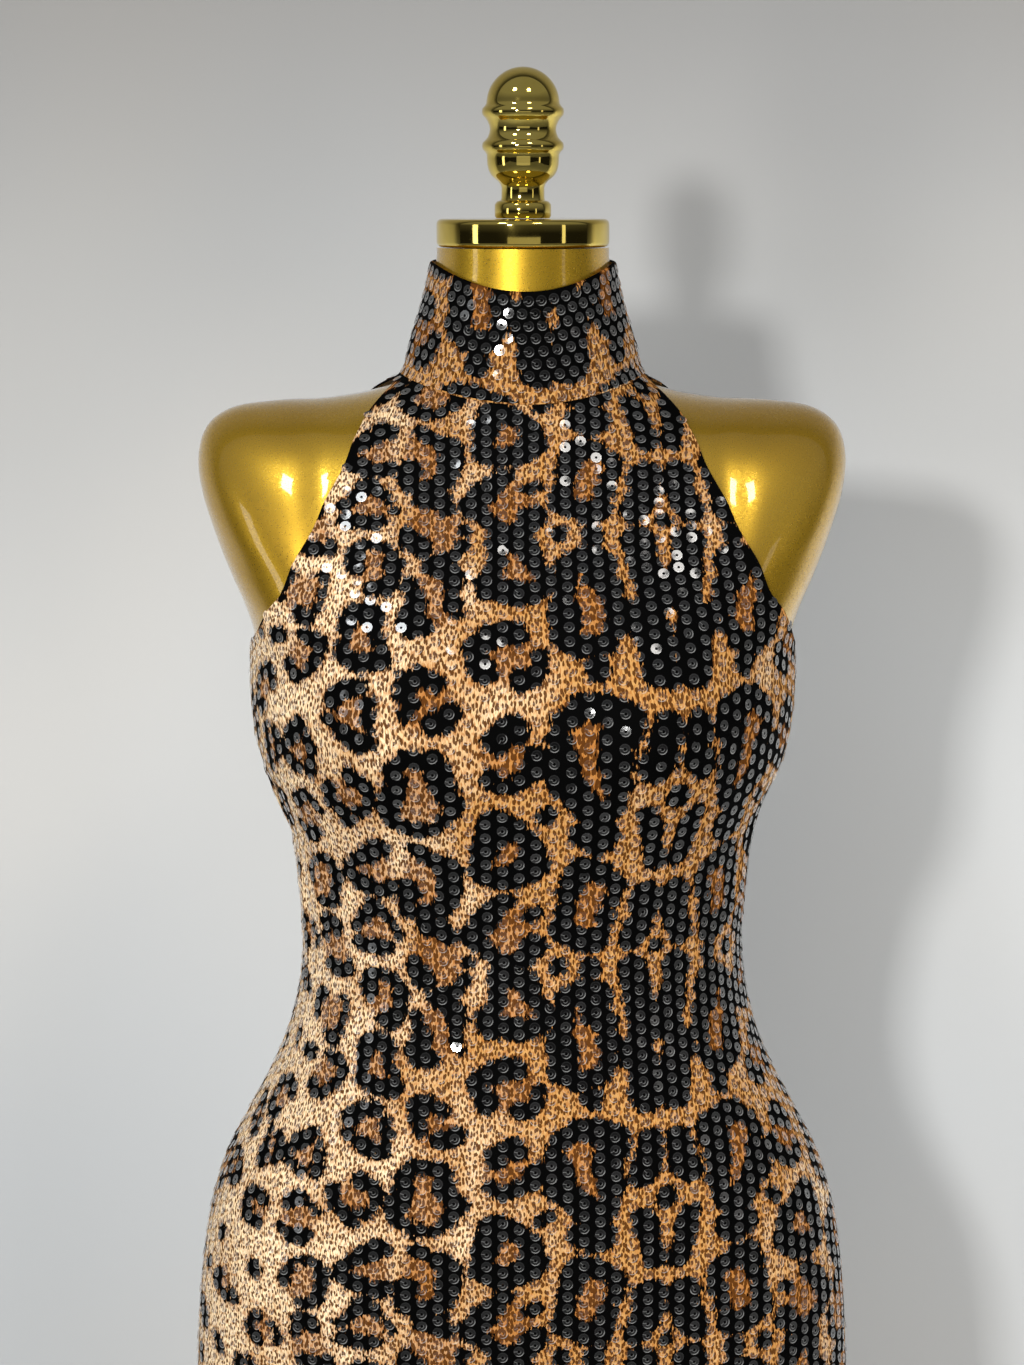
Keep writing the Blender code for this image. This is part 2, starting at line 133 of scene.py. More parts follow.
NECK_AND_TRUNK = (
    Section(48.4, 0.0, 54.4, 0.0, 42.4, 0.0, 6.0, 2.00),  # top of the neck
    Section(48.9, 9.0, 54.6, 24.0, 43.2, 4.0, 5.5, 2.00),  # top edge of the collar
    Section(53.4, 30.0, 54.9, 45.0, 47.5, 23.0, 3.0, 2.00),
    Section(60.2, 52.0, 55.8, 66.0, 53.5, 42.0, 0.0, 2.00),
    Section(66.6, 72.0, 58.0, 84.5, 61.0, 60.0, -3.0, 2.00),  # collar seam
    Section(85.0, 80.5, 62.0, 99.0, 71.0, 76.0, -4.0, 2.00),
    Section(112.0, 84.5, 67.5, 116.0, 81.0, 95.0, -4.0, 2.00),
    Section(140.0, 86.0, 73.5, 133.0, 89.0, 115.0, -3.0, 2.05),
    Section(163.5, 89.5, 80.0, 150.0, 95.0, 135.0, -2.0, 2.10),
    Section(178.0, 99.0, 86.5, 166.0, 99.0, 155.0, -1.0, 2.15),
    Section(183.6, 115.0, 93.0, 182.0, 101.5, 174.0, 0.0, 2.20),  # widest shoulder
    Section(182.0, 135.0, 99.5, 198.0, 102.5, 192.0, 0.0, 2.25),
    Section(174.3, 160.0, 105.5, 214.0, 102.5, 210.0, 0.0, 2.30),
    Section(167.2, 178.0, 110.0, 227.0, 101.5, 224.0, 0.0, 2.35),
    Section(159.3, 196.0, 113.0, 239.0, 100.0, 238.0, 0.0, 2.40),
    Section(153.6, 213.0, 115.5, 250.0, 98.5, 250.0, 0.0, 2.45),
    Section(152.7, 229.0, 117.0, 260.5, 97.0, 262.0, 0.0, 2.45),  # under the arm
    Section(152.8, 244.0, 117.3, 271.0, 95.3, 273.0, 0.0, 2.45),
    Section(152.2, 259.0, 116.5, 282.0, 93.3, 284.0, 0.0, 2.40),
    Section(150.4, 274.0, 114.5, 294.0, 91.0, 296.0, 0.0, 2.35),
    Section(146.2, 290.0, 111.0, 307.0, 88.5, 309.0, 0.0, 2.30),
    Section(139.2, 306.0, 107.0, 321.0, 86.0, 322.0, 0.0, 2.25),
    Section(132.9, 322.0, 103.0, 335.0, 83.3, 336.0, 0.0, 2.20),
    Section(129.3, 340.0, 99.5, 351.0, 80.0, 351.0, 0.0, 2.15),
    Section(127.2, 360.0, 96.6, 368.0, 76.8, 368.0, 0.0, 2.15),
    Section(124.9, 387.0, 94.7, 390.0, 74.3, 390.0, 0.0, 2.15),  # waist
    Section(125.4, 412.0, 95.2, 413.0, 75.2, 413.0, 0.0, 2.15),
    Section(130.4, 440.0, 98.2, 440.0, 80.5, 440.0, 0.0, 2.15),
    Section(141.0, 470.0, 102.4, 470.0, 90.0, 470.0, 0.0, 2.15),
    Section(157.4, 502.0, 105.6, 502.0, 101.0, 502.0, 0.0, 2.20),
    Section(172.5, 532.0, 106.4, 532.0, 111.0, 532.0, 0.0, 2.25),
    Section(181.4, 565.0, 105.4, 565.0, 120.0, 565.0, 0.0, 2.30),
    Section(186.6, 605.0, 102.8, 605.0, 125.8, 605.0, 0.0, 2.30),
    Section(189.3, 650.0, 100.0, 650.0, 124.5, 650.0, 0.0, 2.30),  # fullest hip
)
FORM_BOTTOM = (
    Section(187.5, 690.0, 97.5, 690.0, 119.5, 690.0, 0.0, 2.30),
    Section(182.0, 728.0, 94.0, 728.0, 112.0, 728.0, 0.0, 2.30),
)
SKIRT = (
    Section(190.6, 720.0, 102.0, 720.0, 124.5, 720.0, 0.0, 2.30),
    Section(192.6, 810.0, 109.0, 810.0, 129.5, 810.0, 0.0, 2.25),
    Section(196.4, 920.0, 119.5, 920.0, 138.0, 920.0, 0.0, 2.20),
    Section(202.0, 1050.0, 133.5, 1050.0, 149.5, 1050.0, 0.0, 2.15),
    Section(208.5, 1190.0, 149.0, 1190.0, 163.0, 1190.0, 0.0, 2.10),
    Section(215.0, 1320.0, 163.0, 1320.0, 175.5, 1320.0, 0.0, 2.10),
    Section(220.0, 1435.0, 173.0, 1435.0, 184.5, 1435.0, 0.0, 2.10),
)


@dataclass(frozen=True)
class Bust:
    """The bust, as two soft swellings of the front, in metres."""

    swell: float = 15 * MM
    apart: float = 76 * MM
    width: float = 40 * MM
    drop: float = 262 * MM
    above: float = 62 * MM
    below: float = 34 * MM
    fade: float = 3.0

    def swelling(self, x: np.ndarray, drop: np.ndarray) -> np.ndarray:
        """How far the bust stands forward of the plain section.

        Args:
            x: Distance from the middle, in metres.
            drop: Distance below the top of the neck, in metres.

        Returns:
            The swelling in metres.
        """
        tall = np.where(drop < self.drop, self.above, self.below)
        across = ((x - self.apart) / self.width) ** 2
        return self.swell * np.exp(-across - ((drop - self.drop) / tall) ** 2)


@dataclass(frozen=True)
class Fold:
    """A wave round the skirt: how many go round, their share of the depth and their turn."""

    count: int
    share: float
    turn: float


@dataclass(frozen=True)
class SkirtFolds:
    """Soft folds that open from the hip down to the hem."""

    waves: tuple[Fold, ...] = (Fold(9, 0.55, 0.6), Fold(5, 0.30, 1.9), Fold(13, 0.15, 0.2))
    depth: float = 15 * MM
    start: float = 0.70
    growth: float = 1.4

    def lift(self, angle: np.ndarray, drop: np.ndarray) -> np.ndarray:
        """How far the cloth stands out of the plain skirt, in metres.

        Args:
            angle: Angles round the body, in radians.
            drop: Distances below the top of the neck, in metres.

        Returns:
            The lift in metres.
        """
        down = (drop - self.start) / (NECK_TOP_Z - HEM_Z - self.start)
        wave = sum(f.share * np.cos(f.count * angle + f.turn) for f in self.waves)
        return self.depth * np.clip(down, 0, 1) ** self.growth * wave


class BodySurface:
    """A smooth surface through a stack of sections."""

    def __init__(self, sections: tuple[Section, ...], folds: SkirtFolds | None = None) -> None:
        """Reads the sections into a table.

        Args:
            sections: The sections from the neck down.
            folds: The folds of a skirt, or none on the bare body.
        """
        columns = list(Section.__dataclass_fields__)
        self.table = np.array([[getattr(s, c) for c in columns] for s in sections])
        self.table[:, :7] *= MM
        self.bust = Bust()
        self.folds = folds

    def section(self, station: np.ndarray) -> np.ndarray:
        """The eight columns at a station, which may lie between two sections.

        Args:
            station: Stations down the body.

        Returns:
            The columns of the table, each with a value for every station.
        """
        last = len(self.table) - 1
        station = np.clip(np.asarray(station, float), 0, last)
        k = np.minimum(station.astype(int), last - 1)
        f = (station - k)[..., None]
        before, here = self.table[np.maximum(k - 1, 0)], self.table[k]
        after, beyond = self.table[k + 1], self.table[np.minimum(k + 2, last)]
        bend = curve_between(f, here, (after - before) / 2, after, (beyond - here) / 2)
        return np.moveaxis(bend, -1, 0)

    def point(self, station: np.ndarray, angle: np.ndarray) -> np.ndarray:
        """Places on the surface.

        Args:
            station: Stations down the body.
            angle: Angles round the body, in radians.

        Returns:
            Points in metres, in a last axis of three.
        """
        columns = self.section(station)
        side, side_drop, front, front_drop, back, back_drop, widest, square = columns
        s, c = np.sin(angle), np.cos(angle)
        reach = (np.abs(s) ** square + np.abs(c) ** square) ** (-1 / square)
        ahead = c >= 0
        depth = np.where(ahead, front - widest, back + widest)
        x, y = side * s * reach, -widest - depth * c * reach
        middle_drop = np.where(ahead, front_drop, back_drop)
        drop = side_drop + (middle_drop - side_drop) * (c * reach) ** 2
        y = y - self.bust.swelling(np.abs(x), drop) * np.clip(c * self.bust.fade, 0, 1)
        if self.folds:
            out = self.folds.lift(angle, drop)
            x, y = x + out * s, y - out * c
        return np.stack([x, y, NECK_TOP_Z - drop], -1)

    def normal(self, station: np.ndarray, angle: np.ndarray) -> np.ndarray:
        """The directions straight out of the surface.

        Args:
            station: Stations down the body.
            angle: Angles round the body, in radians.

        Returns:
            Unit directions, in a last axis of three.
        """
        step = 0.01
        across = self.point(station, angle + step) - self.point(station, angle - step)
        up = self.point(station - step, angle) - self.point(station + step, angle)
        return unit(np.cross(across, up))

    def evenly(self, station: float, start: float, end: float, count: int) -> np.ndarray:
        """Angles from start to end at a station that stand equal lengths apart.

        Args:
            station: The station.
            start: The first angle, in radians.
            end: The last angle.
            count: How many equal lengths to make.

        Returns:
            The angles, one more than the lengths.
        """
        fine = np.linspace(start, end, 6 * count + 1)
        places = self.point(np.full(len(fine), station), fine)
        run = np.linalg.norm(np.diff(places, axis=0), axis=1).cumsum()
        along = np.concatenate([[0], run])
        return np.interp(np.linspace(0, along[-1], count + 1), along, fine)


FORM = BodySurface(NECK_AND_TRUNK + FORM_BOTTOM)
DRESS = BodySurface(NECK_AND_TRUNK + SKIRT, SkirtFolds())


@dataclass(frozen=True)
class Armhole:
    """The cut-in edge of the halter, from the underarm up to the collar seam.

    Each point of the edge has the root of its stations above the underarm, and its angle from
    the centre front in degrees.
    """

    roots: tuple[float, ...] = (0.0, 0.5, 1.1, 1.65, 2.15, 2.6, 2.95, 3.12, 3.27, 3.43)
    angles: tuple[float, ...] = (90.0, 80.0, 66.0, 53.5, 42.8, 38.0, 43.0, 52.8, 66.8, 87.0)

    def angle(self, station: np.ndarray) -> np.ndarray:
        """The edge's angle from the centre front at each station, in radians.

        Args:
            station: Stations down the body.

        Returns:
            The angles, no more than a quarter turn.
        """
        roots, angles = np.array(self.roots), np.array(self.angles)
        slopes = np.gradient(angles, roots)
        root = np.sqrt(np.maximum(UNDERARM - np.asarray(station, float), 0))
        k = np.clip(np.searchsorted(roots, root, side="right") - 1, 0, len(roots) - 2)
        width = roots[k + 1] - roots[k]
        share, leave, arrive = (root - roots[k]) / width, slopes[k] * width, slopes[k + 1] * width
        bend = curve_between(share, angles[k], leave, angles[k + 1], arrive)
        return np.radians(np.minimum(bend, 90.0))


ARMHOLE = Armhole()


@dataclass(frozen=True)
class Crease:
    """A soft ridge in the cloth, from one place to another. Drops and sizes in metres."""

    drop: float
    angle: float
    end_drop: float
    end_angle: float
    width: float
    height: float


CREASES = (
    Crease(0.322, -58, 0.385, -63, 5 * MM, 2.6 * MM),
    Crease(0.336, -72, 0.420, -74, 7 * MM, 2.0 * MM),
    Crease(0.292, -84, 0.330, -78, 6 * MM, 2.2 * MM),
    Crease(0.312, 74, 0.372, 66, 6 * MM, 1.6 * MM),
    Crease(0.300, 130, 0.372, 165, 9 * MM, 2.6 * MM),
    Crease(0.330, 118, 0.405, 158, 8 * MM, 2.2 * MM),
    Crease(0.352, 196, 0.372, 232, 10 * MM, 3.0 * MM),
    Crease(0.386, 204, 0.398, 238, 9 * MM, 2.4 * MM),
    Crease(0.408, 172, 0.420, 210, 10 * MM, 2.6 * MM),
)


CREASE_RADIUS = 0.12  # metres from the body's axis to the creases, for their slant
CREASE_TAPER = 0.7


def crease_lift(station: np.ndarray, angle: np.ndarray, drop: np.ndarray) -> np.ndarray:
    """How far the creases lift the cloth.

    Args:
        station: Stations of the places.
        angle: Their angles, in radians.
        drop: Their distances below the top of the neck, in metres.

    Returns:
        The lift in metres.
    """
    half = DRESS.section(station)[0]
    lift = np.zeros_like(drop)
    for c in CREASES:
        share = (drop - c.drop) / (c.end_drop - c.drop)
        line = np.radians(c.angle + (c.end_angle - c.angle) * np.clip(share, 0, 1))
        slope = math.radians(c.end_angle - c.angle) * CREASE_RADIUS / (c.end_drop - c.drop)
        away = (np.angle(np.exp(1j * (angle - line))) * half) / math.hypot(1, slope)
        ends = np.clip(np.sin(np.pi * np.clip(share, 0, 1)), 0, 1) ** CREASE_TAPER
        lift += c.height * ends * np.exp(-((away / c.width) ** 2))
    return lift


@dataclass(frozen=True)
class Stretch:
    """How the print and the sequins' spacing come out at a drop in metres, against the flat cloth."""

    drop: float
    across: float
    down: float


STRETCHES = (
    Stretch(0.080, 0.97, 0.73),
    Stretch(0.165, 0.98, 0.80),
    Stretch(0.250, 1.11, 1.10),
    Stretch(0.310, 1.05, 1.02),
    Stretch(0.390, 0.95, 0.90),
    Stretch(0.520, 1.03, 0.87),
    Stretch(1.435, 1.04, 0.90),
)


class ClothMap:
    """The flat cloth of the front or the back: metres across from its middle, and down."""

    drop_step = 2 * MM
    quarter = 91

    def __init__(self, middle: float) -> None:
        """Lays the flat cloth over half of the body.

        Args:
            middle: The angle of the centre front or the centre back, in radians.
        """
        self.middle = middle
        self.drops = np.arange(0, NECK_TOP_Z - HEM_Z, self.drop_step)
        degrees = np.linspace(-self.quarter, self.quarter, 2 * self.quarter + 1)
        self.angles = middle + np.radians(degrees)
        stations = np.linspace(0, HEM, 1201)
        grid = DRESS.point(stations[:, None], self.angles[None, :])
        fall = NECK_TOP_Z - grid[..., 2]
        self.stations = np.stack(
            [np.interp(self.drops, fall[:, j], stations) for j in range(len(self.angles))], 1
        )
        level = DRESS.point(self.stations, self.angles[None, :])
        step = np.hypot(*np.moveaxis(np.diff(level[..., :2], axis=1), -1, 0))
        run = np.concatenate([np.zeros((len(self.drops), 1)), step.cumsum(1)], 1)
        run -= run[:, [self.quarter]]
        known = [s.drop for s in STRETCHES]
        across = np.interp(self.drops, known, [s.across for s in STRETCHES])
        down = np.interp(self.drops, known, [s.down for s in STRETCHES])
        self.across = run / across[:, None]
        line = level[:, self.quarter]
        fallen = np.linalg.norm(np.diff(line, axis=0), axis=1) / down[1:]
        self.down = np.concatenate([[0], fallen.cumsum()])

    def flat(self, angle: np.ndarray, drop: np.ndarray) -> tuple[np.ndarray, np.ndarray]:
        """Where places on the body lie on the flat cloth.

        Args:
            angle: Angles round the body, in radians.
            drop: Distances below the top of the neck, in metres.

        Returns:
            Metres across and metres down.
        """
        column = np.degrees(angle - self.middle) + self.quarter
        column = np.clip(column, 0, len(self.angles) - 1.001)
        row = np.clip(drop / self.drop_step, 0, len(self.drops) - 1.001)
        i, j = row.astype(int), column.astype(int)
        f, g = row - i, column - j
        top = self.across[i, j] * (1 - g) + self.across[i, j + 1] * g
        low = self.across[i + 1, j] * (1 - g) + self.across[i + 1, j + 1] * g
        return top * (1 - f) + low * f, self.down[i] * (1 - f) + self.down[i + 1] * f

    def row(self, down: float, across: np.ndarray) -> tuple[np.ndarray, np.ndarray]:
        """Where a row of the flat cloth lies on the body.

        Args:
            down: Metres down the flat cloth.
            across: Metres across it, for each place.

        Returns:
            Stations and angles in radians. A place off the cloth has a station of nan.
        """
        where = np.interp(down, self.down, np.arange(len(self.down)))
        i = min(int(where), len(self.drops) - 2)
        f = where - i
        line = self.across[i] * (1 - f) + self.across[i + 1] * f
        angle = np.interp(across, line, self.angles, left=np.nan, right=np.nan)
        stations = self.stations[i] * (1 - f) + self.stations[i + 1] * f
        return np.interp(angle, self.angles, stations), angle


FRONT_MAP = ClothMap(0.0)
BACK_MAP = ClothMap(math.pi)


class SpotKind(Enum):
    """The shapes of a black spot."""

    RING = "closed ring"
    HORSESHOE = "open ring"
    BROKEN = "ring in three pieces"
    HALVES = "two brackets"
    BAR = "leaning bar"
    DOT = "dot"


SPOT_ARCS = {
    SpotKind.RING: ((0, 346),),
    SpotKind.HORSESHOE: ((-50, 206),),
    SpotKind.BROKEN: ((2, 74), (146, 208), (262, 318)),
    SpotKind.HALVES: ((-58, 46), (124, 228)),
}
RING, SHOE, BROKEN = SpotKind.RING, SpotKind.HORSESHOE, SpotKind.BROKEN
HALVES, BAR, DOT = SpotKind.HALVES, SpotKind.BAR, SpotKind.DOT
BAR_BEADS = 12
RING_LENGTH = 7  # of a closed ring's line, for each millimetre of its two radii
BEAD_SPACING = 1.6  # stroke radii from one bead to the next
BEAD_LOBES = 2.2  # swellings of the stroke in a turn


@dataclass(frozen=True)
class Spot:
    """A black spot of the print: the line of its stroke and the stroke's radius, in millimetres."""

    kind: SpotKind
    across: float
    down: float
    wide: float
    tall: float
    stroke: float
    turn: float

    def beads(self, random: np.random.Generator) -> list[tuple[float, float, float]]:
        """The overlapping round beads that make up the stroke.

        Args:
            random: Where the unevenness comes from.

        Returns:
            The place and the radius of each bead.
        """
        line = []
        if self.kind is SpotKind.DOT:
            line = [(0.0, -0.25 * self.tall), (0.0, 0.25 * self.tall)]
        elif self.kind is SpotKind.BAR:
            line = [(self.wide * k, self.tall * k) for k in np.linspace(-1, 1, BAR_BEADS)]
        for start, end in SPOT_ARCS.get(self.kind, ()):
            length = (end - start) / 360 * RING_LENGTH * (self.wide + self.tall)
            steps = max(int(length / self.stroke / BEAD_SPACING), 2)
            for turn in np.radians(np.linspace(start, end, steps + 1) + self.turn):
                line.append((self.wide * math.cos(turn), self.tall * math.sin(turn)))
        made = []
        start = random.uniform(0, 2 * math.pi)
        for u, v in line:
            swell = 1 + 0.2 * math.sin(start + BEAD_LOBES * math.atan2(v, u))
            swell = swell + random.uniform(-0.1, 0.1)
            u = self.across + u * random.uniform(0.95, 1.05)
            v = self.down + v * random.uniform(0.95, 1.05)
            sway, drift = waver(u, v)
            made.append((u + sway, v + drift, self.stroke * swell))
        return made


def waver(across: float, down: float) -> tuple[float, float]:
    """How far the print's lines stray at a place, all in millimetres.

    Args:
        across: The place across from the spine.
        down: The place down, in a pattern that returns at each repeat.

    Returns:
        The shifts across and down. There is no shift across on the spine.
    """
    turn = 2 * math.pi * down / LeopardPrint.repeat
    sway = 3.0 * math.sin(5 * turn + across / 13) + 2.4 * math.sin(8 * turn - across / 9 + 1)
    drift = 2.6 * math.sin(6 * turn + across / 11 + 2) + 2.2 * math.cos(3 * turn + across / 8)
    return sway * min(abs(across) / 24, 1.0), drift


@dataclass(frozen=True)
class SpotColumn:
    """A column of the print's repeat, spaced evenly down it. Sizes in millimetres."""

    across: float
    offset: float
    kinds: tuple[SpotKind, ...]
    wide: float
    tall: float
    stroke: float
    loose: float


@dataclass
class LeopardPrint:
    """A spotted print that mirrors about a spine line and repeats down the cloth.

    Sizes are in millimetres, apart from the spine's place off the middle of the front and the
    reach of the warm ground, which are in metres. Ground wider than allowed gets a filler.
    """

    width: float = 300.0
    repeat: float = 255.0
    step: float = 1.0
    spine: float = 76 * MM
    reach: int = 24
    plain: float = 5.0
    heart_spill: float = 1.5
    widest_ground: float = 8.6
    opens: float = 0.02
    channel: float = 5.0
    most_fillers: int = 60
    largest_filler: float = 6.5
    filler_share: float = 0.85
    filler_aside: float = 2.5
    filler_along: float = 3.5
    warmth: float = 0.6
    warm_reach: float = 0.21
    seed: int = 47
    columns: tuple[SpotColumn, ...] = (
        SpotColumn(11, 30, (BAR, BAR, BAR, BAR, BAR), 3.5, 15, 8.4, 0.8),
        SpotColumn(44, 4, (RING, RING, RING), 14, 26, 7.6, 1.5),
        SpotColumn(40, 47, (DOT, BROKEN, DOT), 6, 5, 6.6, 3.0),
        SpotColumn(86, 36, (BROKEN, HALVES, RING, SHOE, RING), 14.5, 17.5, 7.2, 4.5),
        SpotColumn(127, 2, (HALVES, BROKEN, RING, SHOE, BROKEN), 14.5, 17.5, 6.1, 5.0),
        SpotColumn(165, 22, (RING, BROKEN, HALVES, SHOE, BROKEN, SHOE), 12.5, 14, 5.1, 5.0),
        SpotColumn(200, 0, (BROKEN, SHOE, BROKEN, HALVES, SHOE, HALVES), 11.5, 13, 4.5, 5.0),
        SpotColumn(231, 20, (DOT, BROKEN, HALVES, SHOE, DOT, BROKEN, HALVES), 9, 10.5, 4.1, 4.5),
        SpotColumn(258, 2, (BROKEN, DOT, HALVES, BROKEN, DOT, SHOE, DOT), 7.5, 10, 4.1, 4.0),
        SpotColumn(282, 16, (DOT, HALVES, DOT, BROKEN, DOT, DOT, HALVES, DOT), 6, 9, 4.1, 3.0),
        SpotColumn(300, 0, (DOT, DOT, HALVES, DOT, DOT, HALVES, DOT), 5, 10, 4.1, 1.0),
    )

    def __post_init__(self) -> None:
        """Charts the spots and measures the print over one repeat."""
        self.random = np.random.default_rng(self.seed)
        self.spots = self.chart()
        self.ink, self.heart = self.measure()

    def chart(self) -> list[Spot]:
        """Places the spots column by column, each a little different.

        Returns:
            The spots of one repeat.
        """
        random = self.random
        spots = []
        for c in self.columns:
            pitch = self.repeat / len(c.kinds)
            for k, kind in enumerate(c.kinds):
                lean = 1 if k % 2 else -1
                turned = random.uniform(0, 360) if kind in (SHOE, BROKEN) else 90 * (k % 2)
                spots.append(
                    Spot(
                        kind=kind,
                        across=c.across + c.loose * random.uniform(-1, 1),
                        down=c.offset + k * pitch + c.loose * random.uniform(-1, 1),
                        wide=c.wide * random.uniform(0.82, 1.18) * (lean if kind is BAR else 1),
                        tall=c.tall * random.uniform(0.86, 1.14),
                        stroke=c.stroke * random.uniform(0.92, 1.10),
                        turn=turned + c.loose * random.uniform(-6, 6),
                    )
                )
        return spots

    def measure(self) -> tuple[np.ndarray, np.ndarray]:
        """Measures how far each place of the repeat lies from the black.

        Returns:
            The distance in millimetres, less than nothing in the black, and how brown it is.
        """
        across = np.arange(0, self.width + self.step, self.step)
        down = np.arange(0, self.repeat, self.step)
        ink = np.full((len(down), len(across)), float(self.reach))
        heart = np.zeros_like(ink)
        for spot in self.spots:
            if spot.kind not in (BAR, DOT):
                rows = np.arange(int(spot.down - spot.tall), int(spot.down + spot.tall) + 1)
                inner = ((across[None, :] - spot.across) / spot.wide) ** 2
                inner = inner + ((rows[:, None] - spot.down) / spot.tall) ** 2
                rows = rows % len(down)
                brown = np.clip(self.heart_spill - inner, 0, 1)
                heart[rows] = np.maximum(heart[rows], brown)
            for bead in spot.beads(self.random):
                self.press(ink, *bead)
        most = self.widest_ground + self.opens * across
        for _ in range(self.most_fillers):
            v, u = np.unravel_index(np.argmax(ink - most), ink.shape)
            if ink[v, u] < most[u]:
                break
            size = min(ink[v, u] - self.channel, self.largest_filler) * self.filler_share
            for side in (-1, 1):
                aside = self.random.uniform(0, self.filler_aside)
                along = self.random.uniform(0, self.filler_along)
                self.press(ink, u + side * aside, v + side * along, size)
        return ink, heart

    def press(self, ink: np.ndarray, across: float, down: float, size: float) -> None:
        """Prints one round bead and its mirror image into the measured repeat.

        Args:
            ink: The distances from the black, which are brought down.
            across: The bead's place across from the spine.
            down: Its place down.
            size: Its radius.
        """
        columns = np.arange(0, self.width + self.step, self.step)
        rows = np.arange(int(down) - self.reach, int(down) + self.reach + 1)
        for place in (across, -across, 2 * self.width - across):
            first = max(int(place) - self.reach, 0)
            last = max(min(int(place) + self.reach + 1, len(columns)), 0)
            if last > first:
                away = np.hypot(columns[None, first:last] - place, rows[:, None] - down)
                there = np.ix_(rows % len(ink), np.arange(first, last))
                ink[there] = np.minimum(ink[there], away - size)

    def at(self, across: np.ndarray, down: np.ndarray) -> tuple[np.ndarray, np.ndarray]:
        """Reads the print at places of the flat cloth.

        Args:
            across: Metres from the spine line.
            down: Metres down the cloth.

        Returns:
            Millimetres from the black, and how brown the place is.
        """
        period = 2 * self.width
        u = np.abs((across / MM + self.width) % period - self.width) / self.step
        v = (down / MM % self.repeat) / self.step
        i, j = v.astype(int), np.minimum(u.astype(int), self.ink.shape[1] - 2)
        f, g = v - i, u - j
        i, below = i % len(self.ink), (i + 1) % len(self.ink)
        read = []
        for chart in (self.ink, self.heart):
            top = chart[i, j] * (1 - g) + chart[i, j + 1] * g
            low = chart[below, j] * (1 - g) + chart[below, j + 1] * g
            read.append(top * (1 - f) + low * f)
        return read[0], read[1]


def srgb(red: int, green: int, blue: int) -> Colour:
    """A colour given as 0 to 255, as the linear numbers that a shader takes.

    Args:
        red: Red.
        green: Green.
        blue: Blue.

    Returns:
        The linear red, green and blue, and an alpha of 1.
    """
    linear = [
        (c / 255 / 12.92) if c / 255 <= 0.04045 else ((c / 255 + 0.055) / 1.055) ** 2.4
        for c in (red, green, blue)
    ]
    return (*linear, 1.0)


class Nodes:
    """A material's node tree, with short ways to add nodes and links."""

    def __init__(self, name: str) -> None:
        """Makes a material with its Principled shader.

        Args:
            name: The material's name.
        """
        self.material = bpy.data.materials.new(name)
        self.material.use_nodes = True
        self.tree = self.material.node_tree
        self.shader = self.tree.nodes["Principled BSDF"]

    def feed(self, socket: Socket, value: object) -> None:
        """Links a socket to another, or gives it a plain value.

        Args:
            socket: The socket.
            value: Another socket, or a number or colour.
        """
        if isinstance(value, Socket):
            self.tree.links.new(value, socket)
        else:
            socket.default_value = value

    def set(self, **values: object) -> None:
        """Sets or links the shader's own sockets. An underscore in a name stands for a space."""
        for name, value in values.items():
            self.feed(self.shader.inputs[name.replace("_", " ")], value)

    def add(
        self, kind: str, inputs: dict[int | str, object] | None = None, **settings: object
    ) -> bpy.types.Node:
        """Adds a node, and sets its properties and what goes into it.

        Args:
            kind: The node's type.
            inputs: Sockets, numbers or colours for its inputs, by name or number.
            **settings: Its properties.

        Returns:
            The node.
        """
        node = self.tree.nodes.new(kind)
        for name, value in settings.items():
            setattr(node, name, value)
        for name, value in (inputs or {}).items():
            self.feed(node.inputs[name], value)
        return node

    def attribute(self, name: str) -> Socket:
        """The number that an attribute holds."""
        return self.add("ShaderNodeAttribute", attribute_name=name).outputs["Fac"]

    def place(self, uv: str | None, scale: Triple = (1, 1, 1)) -> Socket:
        """Coordinates of a UV map in metres, or of the object, scaled each way.

        Args:
            uv: The UV map's name, or None for Object coordinates.
            scale: The three factors.

        Returns:
            The scaled coordinates.
        """
        if uv:
            source = self.add("ShaderNodeUVMap", uv_map=uv).outputs["UV"]
        else:
            source = self.add("ShaderNodeTexCoord").outputs["Object"]
        return self.add("ShaderNodeMapping", {"Vector": source, "Scale": scale}).outputs["Vector"]

    def noise(self, uv: str | None, scale: Triple, detail: float = 2.0) -> Socket:
        """Soft noise from 0 to 1, with one grain to each unit of the scaled coordinates.

        Args:
            uv: The UV map's name, or None for Object coordinates.
            scale: The three factors.
            detail: How many finer layers it has.

        Returns:
            The noise.
        """
        inputs = {"Vector": self.place(uv, scale), "Scale": 1.0, "Detail": detail}
        return self.add("ShaderNodeTexNoise", inputs).outputs["Fac"]

    def math(self, operation: str, *values: object) -> Socket:
        """The result of a sum on sockets or numbers."""
        return self.add("ShaderNodeMath", dict(enumerate(values)), operation=operation).outputs[0]

    def ramp(
        self, value: Socket, low: float, high: float, bottom: float = 0.0, top: float = 1.0
    ) -> Socket:
        """A value taken smoothly from low..high to bottom..top.

        Args:
            value: The value.
            low: The value that gives the bottom.
            high: The value that gives the top.
            bottom: The result at the low value.
            top: The result at the high value.

        Returns:
            The result.
        """
        inputs = {"Value": value, "From Min": low, "From Max": high, "To Min": bottom, "To Max": top}
        return self.add(
            "ShaderNodeMapRange", inputs, interpolation_type="SMOOTHSTEP"
        ).outputs["Result"]

    def mix(self, share: object, first: object, second: object) -> Socket:
        """A mix of two colours, by the share of the second."""
        inputs = {"Factor": share, 6: first, 7: second}
        return self.add("ShaderNodeMix", inputs, data_type="RGBA").outputs[2]

    def bump(self, height: Socket, strength: float, depth: float) -> None:
        """Raises the surface by a height from 0 to 1, to a depth in metres."""
        inputs = {"Height": height, "Strength": strength, "Distance": depth}
        self.set(Normal=self.add("ShaderNodeBump", inputs).outputs["Normal"])


